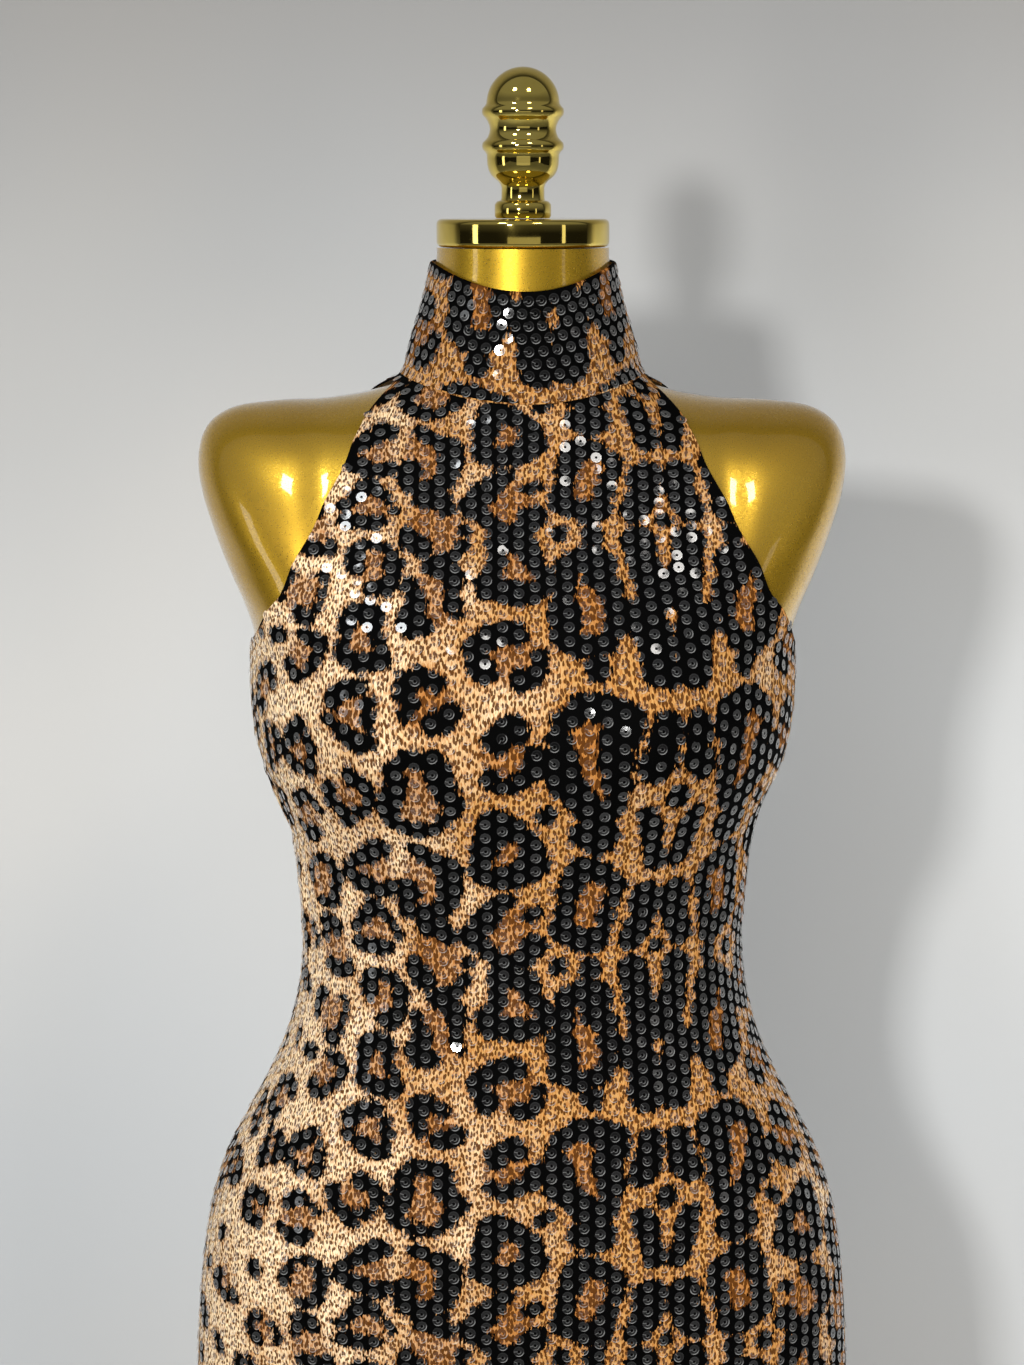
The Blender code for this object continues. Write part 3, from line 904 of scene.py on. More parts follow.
@dataclass(frozen=True)
class PrintColours:
    """The inks of the print."""

    cream: Colour = srgb(238, 214, 174)
    tan: Colour = srgb(186, 140, 82)
    brown: Colour = srgb(156, 96, 40)
    fleck: Colour = srgb(72, 39, 12)
    black: Colour = srgb(4, 4, 4)

    def colour(self, nodes: Nodes) -> Socket:
        """Builds the printed colour.

        Args:
            nodes: The material's nodes.

        Returns:
            The colour.
        """
        ink, heart = nodes.attribute("ink_mm"), nodes.attribute("heart")
        furry = nodes.math("MULTIPLY_ADD", nodes.noise("cloth", (820, 230, 1), 1.5), 9.0, -4.5)
        uneven = nodes.math("MULTIPLY_ADD", nodes.noise("cloth", (120, 90, 1), 1.0), 4.0, -2.0)
        edge = nodes.math("ADD", nodes.math("ADD", ink, furry), uneven)
        cloud = nodes.noise("cloth", (24, 18, 1))
        tone = nodes.math("ADD", nodes.attribute("warmth"), cloud)
        ground = nodes.mix(nodes.ramp(tone, 0.46, 0.98), self.cream, self.tan)
        centre = nodes.mix(nodes.math("MULTIPLY", heart, 0.62), ground, self.brown)
        centre = nodes.mix(nodes.ramp(edge, 3.2, 0.4, 0.0, 0.45), centre, self.brown)
        strand = nodes.noise("cloth", (1250, 300, 1), 1.5)
        centre = nodes.mix(nodes.ramp(strand, 0.42, 0.62, 0.0, 0.72), centre, self.brown)
        grain = nodes.add(
            "ShaderNodeTexVoronoi",
            {"Vector": nodes.place("cloth", (570, 265, 1)), "Scale": 1.0, "Randomness": 0.9},
            feature="F1",
            voronoi_dimensions="2D",
        )
        thick = nodes.math("MULTIPLY_ADD", heart, 0.13, 0.385)
        thick = nodes.math("ADD", thick, nodes.math("MULTIPLY_ADD", tone, 0.16, -0.12))
        thick = nodes.math("ADD", thick, nodes.math("MULTIPLY_ADD", strand, 0.5, -0.25))
        inside = nodes.math("SUBTRACT", thick, grain.outputs["Distance"])
        flecked = nodes.mix(nodes.ramp(inside, -0.04, 0.06, 0.0, 0.93), centre, self.fleck)
        return nodes.mix(nodes.ramp(edge, 0.4, -0.4), flecked, self.black)


@dataclass(frozen=True)
class PrintedCloth:
    """The stretch cloth, printed on its right side."""

    roughness: float = 0.7
    knit: float = 0.3

    def material(self) -> bpy.types.Material:
        """Builds the material.

        Returns:
            The material.
        """
        nodes = Nodes("printed_stretch_cloth")
        colour = PrintColours().colour(nodes)
        nodes.set(Base_Color=colour, Roughness=self.roughness, Specular_IOR_Level=0.015)
        nodes.bump(nodes.noise("cloth", (2200, 1600, 1), 1.0), self.knit, 0.2 * MM)
        return nodes.material


@dataclass(frozen=True)
class WrongSide:
    """The unprinted wrong side of the stretch cloth."""

    roughness: float = 0.8
    knit: float = 0.4
    dark: Colour = srgb(150, 118, 84)
    light: Colour = srgb(178, 146, 108)

    def material(self) -> bpy.types.Material:
        """Builds the material.

        Returns:
            The material.
        """
        nodes = Nodes("cloth_wrong_side")
        grain = nodes.noise("cloth", (1400, 420, 1))
        shade = nodes.mix(nodes.ramp(grain, 0.3, 0.7), self.dark, self.light)
        nodes.set(Base_Color=shade, Roughness=self.roughness, Sheen_Weight=0.2)
        nodes.bump(grain, self.knit, 0.2 * MM)
        return nodes.material


@dataclass(frozen=True)
class ClearSequin:
    """Clear cup sequins over the print, with painted highlights on the lower lip and round the eye, a
    painted sheen towards grazing and a clear thread.

    The disc map gives each point's place on its own sequin, in millimetres.
    """

    roughness: float = 0.07
    glass: float = 1.5
    # film is a faint even grey; the value below it sets the painted sheen that grows towards grazing
    film: float = 0.003
    grazing_sheen: float = 0.30
    # painted highlights: how bright the line round the lower lip is, the one round the eye as a share
    # of it; line is the faint painted highlight all round both
    lip_highlight: float = 0.30
    lip_highlight_radius: float = 2.66
    eye: float = 0.55
    eye_highlight_radius: float = 1.15
    thread: float = 0.45
    line: float = 0.014

    def material(self) -> bpy.types.Material:
        """Builds the material.

        Returns:
            The material.
        """
        nodes = Nodes("clear_cup_sequin")
        place = nodes.add("ShaderNodeSeparateXYZ", {0: nodes.place("disc")})
        x, y = place.outputs[0], place.outputs[1]
        out = nodes.math("SQRT", nodes.math("MULTIPLY_ADD", x, x, nodes.math("MULTIPLY", y, y)))
        lower = nodes.math("MULTIPLY_ADD", x, 0.35, nodes.math("MULTIPLY", y, -0.94))
        # Painted highlights: pale lines round the lower lip and round the eye, brighter towards the
        # lower side, plus the clear thread drawn as a pale dash from the hole.
        lines = []
        for radius, width, shows, full, bright in (
            (self.lip_highlight_radius, 0.36, 0.9, 2.5, self.lip_highlight),
            (self.eye_highlight_radius, 0.28, 0.0, 1.1, self.lip_highlight * self.eye),
        ):
            away = nodes.math("ABSOLUTE", nodes.math("SUBTRACT", out, radius))
            lit = nodes.ramp(lower, shows, full, self.line, bright)
            lines.append(nodes.math("MULTIPLY", nodes.ramp(away, width, 0.10), lit))
        aside = nodes.ramp(nodes.math("ABSOLUTE", y), 0.30, 0.14)
        across = nodes.math("MULTIPLY", aside, nodes.ramp(x, -0.3, -0.6))
        lines.append(nodes.math("MULTIPLY", across, self.lip_highlight * self.thread))
        highlights_and_thread = nodes.math("MAXIMUM", nodes.math("MAXIMUM", lines[0], lines[2]), lines[1])
        # Painted sheen: a light grey that grows towards grazing, over a faint even film.
        facing = nodes.add("ShaderNodeLayerWeight", {"Blend": 0.25}).outputs["Facing"]
        grazing_sheen = nodes.math("MULTIPLY_ADD", facing, self.grazing_sheen, self.film)
        shown = nodes.mix(grazing_sheen, PrintColours().colour(nodes), srgb(182, 182, 182))
        shown = nodes.mix(highlights_and_thread, shown, srgb(196, 196, 194))
        nodes.set(Base_Color=shown, Roughness=self.roughness, IOR=self.glass)
        return nodes.material


@dataclass(frozen=True)
class GoldLacquer:
    """Gold lacquer with fine metal flake under a clear coat."""

    gold: Colour = srgb(218, 176, 52)
    deep: Colour = srgb(174, 133, 28)

    def material(self) -> bpy.types.Material:
        """Builds the material.

        Returns:
            The material.
        """
        nodes = Nodes("gold_flake_lacquer")
        flake = nodes.add(
            "ShaderNodeTexVoronoi", {"Vector": nodes.place(None), "Scale": 1700}, feature="F1"
        )
        grey = nodes.add("ShaderNodeRGBToBW", {0: flake.outputs["Color"]}).outputs[0]
        cloud = nodes.noise(None, (9, 9, 9))
        body = nodes.mix(nodes.ramp(cloud, 0.3, 0.7, 0, 0.5), self.gold, self.deep)
        shade = nodes.mix(nodes.ramp(grey, 0.2, 0.9, 0, 0.45), body, self.deep)
        rough = nodes.ramp(grey, 0.1, 0.9, 0.27, 0.40)
        nodes.set(Base_Color=shade, Roughness=rough, Metallic=0.85)
        nodes.set(Coat_Weight=1.0, Coat_Roughness=0.05)
        nodes.bump(grey, 0.05, 0.2 * MM)
        return nodes.material


@dataclass(frozen=True)
class PolishedGold:
    """Mirror-polished gold plate with the faintest haze."""

    gold: Colour = srgb(232, 208, 112)
    deep: Colour = srgb(214, 184, 78)
    roughness: float = 0.06

    def material(self) -> bpy.types.Material:
        """Builds the material.

        Returns:
            The material.
        """
        nodes = Nodes("polished_gold_plate")
        haze = nodes.noise(None, (60, 60, 60), 3.0)
        rough = nodes.ramp(haze, 0.3, 0.8, self.roughness * 0.6, self.roughness * 1.7)
        tint = nodes.mix(nodes.ramp(haze, 0.3, 0.7, 0, 0.5), self.gold, self.deep)
        nodes.set(Base_Color=tint, Roughness=rough, Metallic=1.0)
        return nodes.material


@dataclass(frozen=True)
class Thread:
    """Spun thread for the hem and the loops."""

    colour: Colour = srgb(120, 84, 48)
    shadow: Colour = srgb(78, 52, 28)

    def material(self) -> bpy.types.Material:
        """Builds the material.

        Returns:
            The material.
        """
        nodes = Nodes("spun_thread")
        twist = nodes.noise(None, (2600, 2600, 5200), 1.0)
        shade = nodes.mix(nodes.ramp(twist, 0.3, 0.7), self.colour, self.shadow)
        nodes.set(Base_Color=shade, Roughness=0.6, Sheen_Weight=0.3)
        return nodes.material


class Finishes:
    """Every finish of the object, built once."""

    def __init__(self) -> None:
        """Builds the materials."""
        self.cloth = PrintedCloth().material()
        self.wrong_side = WrongSide().material()
        self.sequin = ClearSequin().material()
        self.lacquer = GoldLacquer().material()
        self.gold = PolishedGold().material()
        self.thread = Thread().material()


def mesh_piece(
    name: str,
    points: np.ndarray,
    faces: list,
    materials: list[Material],
    slots: list[int] | None = None,
    smooth_angle: float | None = None,
) -> Piece:
    """Makes a piece from points and faces.

    Args:
        name: The piece's name.
        points: Its points in metres.
        faces: Its faces, as lists of point numbers.
        materials: Its materials.
        slots: The material number of each face, or None for the first.
        smooth_angle: The angle past which an edge stays sharp, in radians, or None.

    Returns:
        The piece, shaded smooth.
    """
    mesh = bpy.data.meshes.new(name)
    mesh.from_pydata(points.reshape(-1, 3).tolist(), [], faces)
    for material in materials:
        mesh.materials.append(material)
    if slots:
        mesh.polygons.foreach_set("material_index", np.asarray(slots, np.int32))
    mesh.shade_smooth()
    if smooth_angle:
        mesh.set_sharp_from_angle(angle=smooth_angle)
    piece = bpy.data.objects.new(name, mesh)
    bpy.context.scene.collection.objects.link(piece)
    return piece


def enter(piece: Piece, node: str | None = None) -> Piece:
    """Rides a piece on the body, in the place of a solid if it stands for one, and reports it.

    Args:
        piece: The piece.
        node: The CAD node that it stands for, or None.

    Returns:
        The piece.
    """
    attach(piece, BODY)
    if node:
        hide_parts(node)
    LOG.info("%s: %d faces", piece.name, len(piece.data.polygons))
    return piece


def give_map(piece: Piece, name: str, places: np.ndarray) -> None:
    """Gives a piece a UV map.

    Args:
        piece: The piece.
        name: The map's name.
        places: A place on the map for each point.
    """
    corners = np.empty(len(piece.data.loops), np.int32)
    piece.data.loops.foreach_get("vertex_index", corners)
    layer = piece.data.uv_layers.new(name=name)
    layer.data.foreach_set("uv", places[corners].astype(np.float32).ravel())


def give_print(
    piece: Piece,
    across: np.ndarray,
    down: np.ndarray,
    print_across: np.ndarray,
    shade_browning: float = 0.0,
) -> None:
    """Gives a piece its cloth coordinates and what the print says at each point.

    Args:
        piece: The piece.
        across: Metres across the flat cloth for each point.
        down: Metres down it.
        print_across: Metres from the print's spine line.
        shade_browning: How much browner and darker the ground is than elsewhere, painted shade.
    """
    give_map(piece, "cloth", np.stack([across, down], -1))
    ink, heart = PRINT.at(print_across, down)
    warmth = np.clip(1 - np.abs(print_across) / PRINT.warm_reach, 0, 1) * PRINT.warmth + shade_browning
    for name, values in (("ink_mm", ink), ("heart", heart), ("warmth", warmth)):
        layer = piece.data.attributes.new(name, "FLOAT", "POINT")
        layer.data.foreach_set("value", values.astype(np.float32))


def plain_ground(piece: Piece) -> None:
    """Takes the black spots off a piece that is cut from the ground of the print."""
    ink = np.full(len(piece.data.vertices), PRINT.plain, np.float32)
    piece.data.attributes["ink_mm"].data.foreach_set("value", ink)


PRINT = LeopardPrint()


class Side(Enum):
    """A panel of the dress."""

    FRONT = "front"
    BACK_RIGHT = "back_right"
    BACK_LEFT = "back_left"

    @property
    def cloth_map(self) -> ClothMap:
        """The flat cloth that the panel is cut from."""
        return FRONT_MAP if self is Side.FRONT else BACK_MAP

    def print_across(self, across: np.ndarray) -> np.ndarray:
        """Metres from the print's spine line, which the cutter laid off the middle."""
        return across - PRINT.spine * (1.0 if self is Side.FRONT else -0.6)


@dataclass
class Panel:
    """One cut piece of the dress, from the collar seam to the hem."""

    finishes: Finishes
    side: Side
    columns: int
    shoulder_rows: int = 54
    underarm_rows: int = 36
    trunk_rows: int = 150
    skirt_rows: int = 186
    coarse: int = 3
    edge_fold: float = 0.55 * MM
    edge_round: float = 0.3
    inner_crease: float = 0.6
    underarm_curve: float = 13
    hem_turn: float = 25 * MM
    stitch_pitch: float = 4.6 * MM
    stitch_length: float = 3.2 * MM
    stitch_width: float = 0.8 * MM
    stitch_thickness: float = 0.7 * MM
    stitch_stand: float = 0.1 * MM

    def stations(self) -> np.ndarray:
        """The stations of the rows, closer together round the underarm.

        Returns:
            The stations from the collar seam to the hem.
        """
        first = COLLAR_SEAM + SEAM_STEP
        shoulder = np.linspace(first, self.underarm_curve, self.shoulder_rows + 1)[:-1]
        root = math.sqrt(UNDERARM - self.underarm_curve)
        curve = UNDERARM - np.linspace(root, 0, self.underarm_rows + 1) ** 2
        trunk = np.linspace(UNDERARM, HIP, self.trunk_rows + 1)[1:]
        skirt = np.linspace(HIP, HEM, self.skirt_rows + 1)[1:]
        return np.concatenate([shoulder, curve, trunk, skirt])

    def ends(self, station: float) -> tuple[float, float]:
        """Where the row at a station starts and ends, in radians.

        Args:
            station: The station.

        Returns:
            The first and the last angle.
        """
        edge = float(ARMHOLE.angle(station)) if station < UNDERARM else math.pi / 2
        section = DRESS.section(station)
        edge = min(edge, math.pi / 2 - TOUCH_GAP / 2 / section[0])
        if self.side is Side.FRONT:
            return -edge, edge
        middle = math.pi - TOUCH_GAP / 2 / section[4]
        if self.side is Side.BACK_LEFT:
            return math.pi - edge, middle
        return 2 * math.pi - middle, math.pi + edge

    def build(self) -> Piece:
        """Models the panel as a closed wall with folded edges.

        Returns:
            The panel.
        """
        rows = self.stations()
        angles = np.stack([DRESS.evenly(t, *self.ends(t), self.columns) for t in rows])
        stations = np.repeat(rows[:, None], self.columns + 1, 1)
        base, out = DRESS.point(stations, angles), DRESS.normal(stations, angles)
        drops = NECK_TOP_Z - base[..., 2]
        lift = crease_lift(stations, angles, drops)
        fold = np.zeros_like(lift)
        fold[:, [0, -1]] = self.edge_fold
        fold[-1] = self.edge_fold
        outer = base + out * (CLEAR_OF_FORM + CLOTH_WALL + lift - fold)[..., None]
        inner = base + out * (CLEAR_OF_FORM + self.inner_crease * lift)[..., None]
        numbers = np.arange(lift.size).reshape(lift.shape)
        coarse = np.s_[:: self.coarse, :: self.coarse]
        inner_numbers = np.full(lift.shape, -1)
        few = inner_numbers[coarse].shape
        inner_numbers[coarse] = lift.size + np.arange(few[0] * few[1]).reshape(few)
        ring = border(numbers)
        first = lift.size + few[0] * few[1]
        rim_points, rim_faces = self.rim(outer, base, out, ring, inner_numbers, first)
        right_side, wrong_side = quads(numbers), [f[::-1] for f in quads(inner_numbers[coarse])]
        slots = [0] * len(right_side) + [1] * len(wrong_side) + [0] * len(rim_faces)
        piece = mesh_piece(
            f"dress_{self.side.value}_cloth",
            np.concatenate([outer.reshape(-1, 3), inner[coarse].reshape(-1, 3), rim_points]),
            right_side + wrong_side + rim_faces,
            [self.finishes.cloth, self.finishes.wrong_side],
            slots,
        )
        across, down = (
            np.concatenate([a.ravel(), a[coarse].ravel(), a.ravel()[ring]])
            for a in self.side.cloth_map.flat(angles, drops)
        )
        give_print(piece, across, down, self.side.print_across(across))
        return enter(piece, f"dress_{self.side.value}")

    def rim(
        self,
        outer: np.ndarray,
        base: np.ndarray,
        out: np.ndarray,
        ring: np.ndarray,
        inner_numbers: np.ndarray,
        first: int,
    ) -> tuple[np.ndarray, list]:
        """Closes the wall round its edge with a rounded fold.

        Args:
            outer: The right side's points.
            base: The body's points under them.
            out: The directions straight out of the body.
            ring: The grid's border, as point numbers in order.
            inner_numbers: The point numbers of the coarse wrong side.
            first: The first free point number.

        Returns:
            The fold's points, and the faces on both sides of it.
        """
        edge = outer.reshape(-1, 3)[ring]
        middle = (base + out * (CLEAR_OF_FORM + CLOTH_WALL / 2)).reshape(-1, 3)[ring]
        along = np.roll(edge, -1, 0) - np.roll(edge, 1, 0)
        away = unit(np.cross(along, out.reshape(-1, 3)[ring]))
        turn = -1.0 if np.dot(away[len(away) // 8], edge[len(edge) // 8] - edge.mean(0)) < 0 else 1.0
        points = middle + turn * away * TOUCH_GAP * self.edge_round
        count, step = len(ring), self.coarse
        faces = []
        for k in range(count):
            faces.append([ring[k], first + k, first + (k + 1) % count, ring[(k + 1) % count]])
        for k in range(0, count, step):
            start, end = ring[k], ring[(k + step) % count]
            stretch = [first + (k + i) % count for i in range(step, -1, -1)]
            faces.append([*stretch, inner_numbers.flat[start], inner_numbers.flat[end]])
        return points, faces

    def hem_stitches(self) -> Piece:
        """Sews the turned-up hem down with a row of short stitches.

        Returns:
            The stitches, as one mesh.
        """
        last, before = SKIRT[-1].side_drop * MM, SKIRT[-2].side_drop * MM
        station = HEM - self.hem_turn / (last - before)
        fine = DRESS.evenly(station, *self.ends(station), 60)
        line = DRESS.point(np.full(len(fine), station), fine)
        length = np.linalg.norm(np.diff(line, axis=0), axis=1).sum()
        angles = DRESS.evenly(station, *self.ends(station), int(length / self.stitch_pitch))
        angles = (angles[:-1] + angles[1:]) / 2
        stations = np.full(len(angles), station)
        out = DRESS.normal(stations, angles)
        stand = CLEAR_OF_FORM + CLOTH_WALL + self.stitch_stand
        centre = DRESS.point(stations, angles) + out * stand
        along = unit(np.gradient(centre, axis=0))
        side = np.cross(out, along)
        long, wide = along * self.stitch_length / 2, side * self.stitch_width / 2
        thick = out * self.stitch_thickness / 2
        points = centre[:, None] + np.stack([long, -long, wide, thick, -wide, -thick], 1)
        one = [[0, 2 + k, 2 + (k + 1) % 4] for k in range(4)]
        one += [[1, 2 + (k + 1) % 4, 2 + k] for k in range(4)]
        faces = (np.array(one)[None] + 6 * np.arange(len(centre))[:, None, None]).reshape(-1, 3)
        name = f"hem_stitches_{self.side.value}"
        piece = mesh_piece(name, points, faces.tolist(), [self.finishes.thread])
        return enter(piece)


def quads(numbers: np.ndarray) -> list[list[int]]:
    """The faces of a grid of point numbers, seen from outside as rows going down.

    Args:
        numbers: The grid of point numbers.

    Returns:
        A face of four for each cell of the grid.
    """
    a, b = numbers[:-1, :-1].ravel(), numbers[:-1, 1:].ravel()
    c, d = numbers[1:, 1:].ravel(), numbers[1:, :-1].ravel()
    return np.stack([d, c, b, a], 1).tolist()


def border(numbers: np.ndarray) -> np.ndarray:
    """The point numbers round the edge of a grid, in order."""
    n = numbers
    return np.concatenate([n[0, :-1], n[:-1, -1], n[-1, :0:-1], n[:0:-1, 0]])


def tube_faces(rings: np.ndarray) -> list[list[int]]:
    """The faces of a closed tube.

    Args:
        rings: The point numbers of its rings, a row for each.

    Returns:
        The faces round it, and one across each end.
    """
    faces = quads(np.concatenate([rings, rings[:, :1]], 1))
    return faces + [rings[0].tolist(), rings[-1, ::-1].tolist()]


@dataclass(frozen=True)
class CupSequin:
    """A clear cup sequin: its radius and its hole's, and the heights of both edges, in metres."""

    radius: float = 3.1 * MM
    hole: float = 0.75 * MM
    rim_height: float = 0.145 * MM
    hole_height: float = 0.11 * MM
    sides: int = 10

    def points(self) -> np.ndarray:
        """Its points about its own centre, from the rim inwards.

        Returns:
            The points, in metres.
        """
        turns = (np.arange(self.sides) + 0.5) * 2 * math.pi / self.sides
        rings = []
        for radius, height in ((self.radius, self.rim_height), (self.hole, self.hole_height)):
            ring = np.stack([np.cos(turns) * radius, np.sin(turns) * radius], -1)
            rings.append(np.column_stack([ring, np.full(self.sides, height)]))
        return np.concatenate(rings)

    def faces(self) -> np.ndarray:
        """Its faces, with their right side up, as point numbers."""
        n = self.sides
        return np.array([[k, (k + 1) % n, n + (k + 1) % n, n + k] for k in range(n)])


@dataclass
class SequinField:
    """The sequins sewn on a stretch of cloth, in columns staggered by half."""

    finishes: Finishes
    name: str
    side: Side
    top: float
    bottom: float
    seed: int
    column_pitch: float = 8.75 * MM
    row_pitch: float = 8.3 * MM
    reach: float = 0.42
    seam_margin: float = 3.3 * MM
    edge_margin: float = 2.2 * MM
    lean: float = 5.0
    wander: float = 2.5
    spin: float = 0.35

    def places(self) -> tuple[np.ndarray, np.ndarray, np.ndarray, np.ndarray]:
        """Stations, angles and flat coordinates of the sequins.

        Returns:
            Stations, angles in radians, and metres across and down the flat cloth.
        """
        cloth_map = self.side.cloth_map
        found = []
        reach = int(self.reach / self.column_pitch)
        columns = np.arange(-reach, reach + 1)
        for row in range(int(2 * cloth_map.down[-1] / self.row_pitch)):
            down = row * self.row_pitch / 2
            across = (columns[(columns + row) % 2 == 0] + 0.5) * self.column_pitch
            station, angle = cloth_map.row(down, across)
            keep = np.isfinite(station) & (station >= self.top) & (station < self.bottom)
            keep[keep] = self.inside(station[keep], angle[keep])
            found.append(
                np.stack([station, angle, across, np.full(len(across), down)], -1)[keep]
            )
        return tuple(np.concatenate(found).T)

    def inside(self, station: np.ndarray, angle: np.ndarray) -> np.ndarray:
        """Which places lie on the panel, clear of its seams and edges.

        Args:
            station: Stations of the places.
            angle: Their angles, in radians.

        Returns:
            True for each place that is kept.
        """
        half = DRESS.section(station)[0]
        edge = np.where(station < UNDERARM, ARMHOLE.angle(station), math.pi / 2)
        away = np.abs(angle - (0.0 if self.side is Side.FRONT else math.pi))
        margin = np.where(station < UNDERARM, self.edge_margin, self.seam_margin)
        ok = away < edge - margin / half
        if self.side is Side.FRONT:
            return ok
        own = angle < math.pi if self.side is Side.BACK_LEFT else angle > math.pi
        return ok & own & (away > self.seam_margin / half)

    def build(self) -> Piece:
        """Sews the field's sequins on.

        Returns:
            The sequins.
        """
        station, angle, across, down = self.places()
        base, out = DRESS.point(station, angle), DRESS.normal(station, angle)
        lift = crease_lift(station, angle, NECK_TOP_Z - base[:, 2])
        centre = base + out * (CLEAR_OF_FORM + CLOTH_WALL + SEQUIN_STAND + lift)[:, None]
        return self.sew(centre, out, across, down, self.side.print_across(across))

    def sew(
        self,
        centre: np.ndarray,
        out: np.ndarray,
        across: np.ndarray,
        down: np.ndarray,
        print_across: np.ndarray,
    ) -> Piece:
        """Sews cup sequins on as one mesh, each leaning a little its own way.

        Args:
            centre: Where each sequin sits.
            out: The direction straight out of the cloth at each.
            across: Metres across the flat cloth.
            down: Metres down it.
            print_across: Metres from the print's spine line.

        Returns:
            The sequins.
        """
        count = len(centre)
        random = np.random.default_rng(self.seed)
        side = unit(np.cross(np.array([0, 0, 1.0]), out))
        up = np.cross(out, side)
        lean = np.radians(self.lean + random.normal(0, self.wander, count))
        roll = np.radians(random.normal(0, self.wander, count))
        out = unit(out + up * np.tan(lean)[:, None] + side * np.tan(roll)[:, None])
        side = unit(np.cross(up, out))
        up = np.cross(out, side)
        turn = random.normal(0, self.spin, count)
        shape = CupSequin().points()
        cos, sin = np.cos(turn)[:, None], np.sin(turn)[:, None]
        x = shape[None, :, 0] * cos - shape[None, :, 1] * sin
        y = shape[None, :, 0] * sin + shape[None, :, 1] * cos
        points = (
            centre[:, None]
            + side[:, None] * x[..., None]
            + up[:, None] * y[..., None]
            + out[:, None] * shape[None, :, 2, None]
        )
        faces = CupSequin().faces()[None] + np.arange(count)[:, None, None] * len(shape)
        piece = mesh_piece(self.name, points, faces.reshape(-1, 4).tolist(), [self.finishes.sequin])
        u, v = across[:, None] + x, down[:, None] - y
        give_print(piece, u.ravel(), v.ravel(), (print_across[:, None] + x).ravel())
        give_map(piece, "disc", np.tile(shape[:, :2] / MM, (count, 1)))
        LOG.info("%s: %d sequins", self.name, count)
        return enter(piece)


@dataclass
class Collar:
    """The high stand collar, a strip folded along its top edge."""

    finishes: Finishes
    columns: int = 180
    rows: int = 36
    fold_rise: float = 0.8 * MM
    # painted shade: the collar's ground is made browner and darker for the shade that falls on it
    shade_browning: float = 0.3
    spine_share: float = 0.2
    column_pitch: float = 7.6 * MM
    row_pitch: float = 6.9 * MM
    first_row: float = 4.2 * MM
    sequin_rows: int = 9
    bare_end: float = 9 * MM

    def flat(self, station: np.ndarray, angle: np.ndarray) -> tuple[np.ndarray, np.ndarray]:
        """Metres round the collar from its middle, and metres down from its top edge.

        Args:
            station: Stations of the places.
            angle: Their angles, in radians.

        Returns:
            Metres round and metres down.
        """
        middle = DRESS.point(np.full(1, COLLAR_MIDDLE), np.zeros(1))[0]
        radius = abs(middle[1]) + COLLAR_WALL
        return angle * radius, (station - COLLAR_TOP) * COLLAR_RISE

    def build(self) -> Piece:
        """Models the collar as a closed wall with a soft fold at the top.

        Returns:
            The collar.
        """
        stations = np.linspace(COLLAR_TOP, COLLAR_SEAM - SEAM_STEP, self.rows + 1)
        half = math.pi - TOUCH_GAP / 2 / DRESS.section(COLLAR_MIDDLE)[4]
        angles = np.linspace(-half, half, self.columns + 1)
        t, a = np.meshgrid(stations, angles, indexing="ij")
        base, out = DRESS.point(t, a), DRESS.normal(t, a)
        outer = base + out * (CLEAR_OF_FORM + COLLAR_WALL)
        inner = base + out * CLEAR_OF_FORM
        fold = (base + out * (CLEAR_OF_FORM + COLLAR_WALL / 2))[0]
        fold[:, 2] += self.fold_rise
        size = t.size
        numbers = np.arange(size).reshape(t.shape)
        right_side, wrong_side = quads(numbers), [f[::-1] for f in quads(numbers + size)]
        top = 2 * size + np.arange(self.columns + 1)
        ring, inside, bottom = numbers[0], numbers[0] + size, numbers[-1]
        edges = []
        for k in range(self.columns):
            edges.append([ring[k], ring[k + 1], top[k + 1], top[k]])
            edges.append([top[k], top[k + 1], inside[k + 1], inside[k]])
        for k in range(self.columns):
            edges.append([bottom[k + 1], bottom[k], bottom[k] + size, bottom[k + 1] + size])
        for column, order in ((0, 1), (-1, -1)):
            line = numbers[:, column]
            strip = [[p, p + size, q + size, q] for p, q in zip(line, line[1:])]
            strip.append([line[0], top[column], line[0] + size])
            edges += [f[::order] for f in strip]
        piece = mesh_piece(
            "collar_cloth",
            np.concatenate([outer.reshape(-1, 3), inner.reshape(-1, 3), fold]),
            right_side + wrong_side + edges,
            [self.finishes.cloth, self.finishes.wrong_side],
            [0] * len(right_side) + [1] * len(wrong_side) + [0] * len(edges),
        )
        every_t, every_a = (np.concatenate([v.ravel(), v.ravel(), v[0]]) for v in (t, a))
        across, down = self.flat(every_t, every_a)
        give_print(piece, across, down, across - self.spine_share * PRINT.spine, self.shade_browning)
        return enter(piece, "collar")

    def sequins(self) -> Piece:
        """Sews on the collar's sequins, whose columns run round the neck.

        Returns:
            The sequins.
        """
        half = self.flat(np.array([COLLAR_MIDDLE]), np.array([math.pi]))[0][0]
        reach = int(half / self.column_pitch)
        places = []
        for row in range(self.sequin_rows):
            station = COLLAR_TOP + (self.first_row + row * self.row_pitch) / COLLAR_RISE
            along = (np.arange(-reach, reach) + 0.5 * (row % 2) + 0.25) * self.column_pitch
            along = along[np.abs(along) < half - self.bare_end]
            places.append(np.stack([np.full(len(along), station), along / half * math.pi], -1))
        station, angle = np.concatenate(places).T
        base, out = DRESS.point(station, angle), DRESS.normal(station, angle)
        centre = base + out * (CLEAR_OF_FORM + COLLAR_WALL + SEQUIN_STAND)
        across, down = self.flat(station, angle)
        around = SequinField(
            self.finishes, "sequins_collar", Side.FRONT, COLLAR_TOP, COLLAR_SEAM, seed=19
        )
        return around.sew(centre, out, across, down, across - self.spine_share * PRINT.spine)


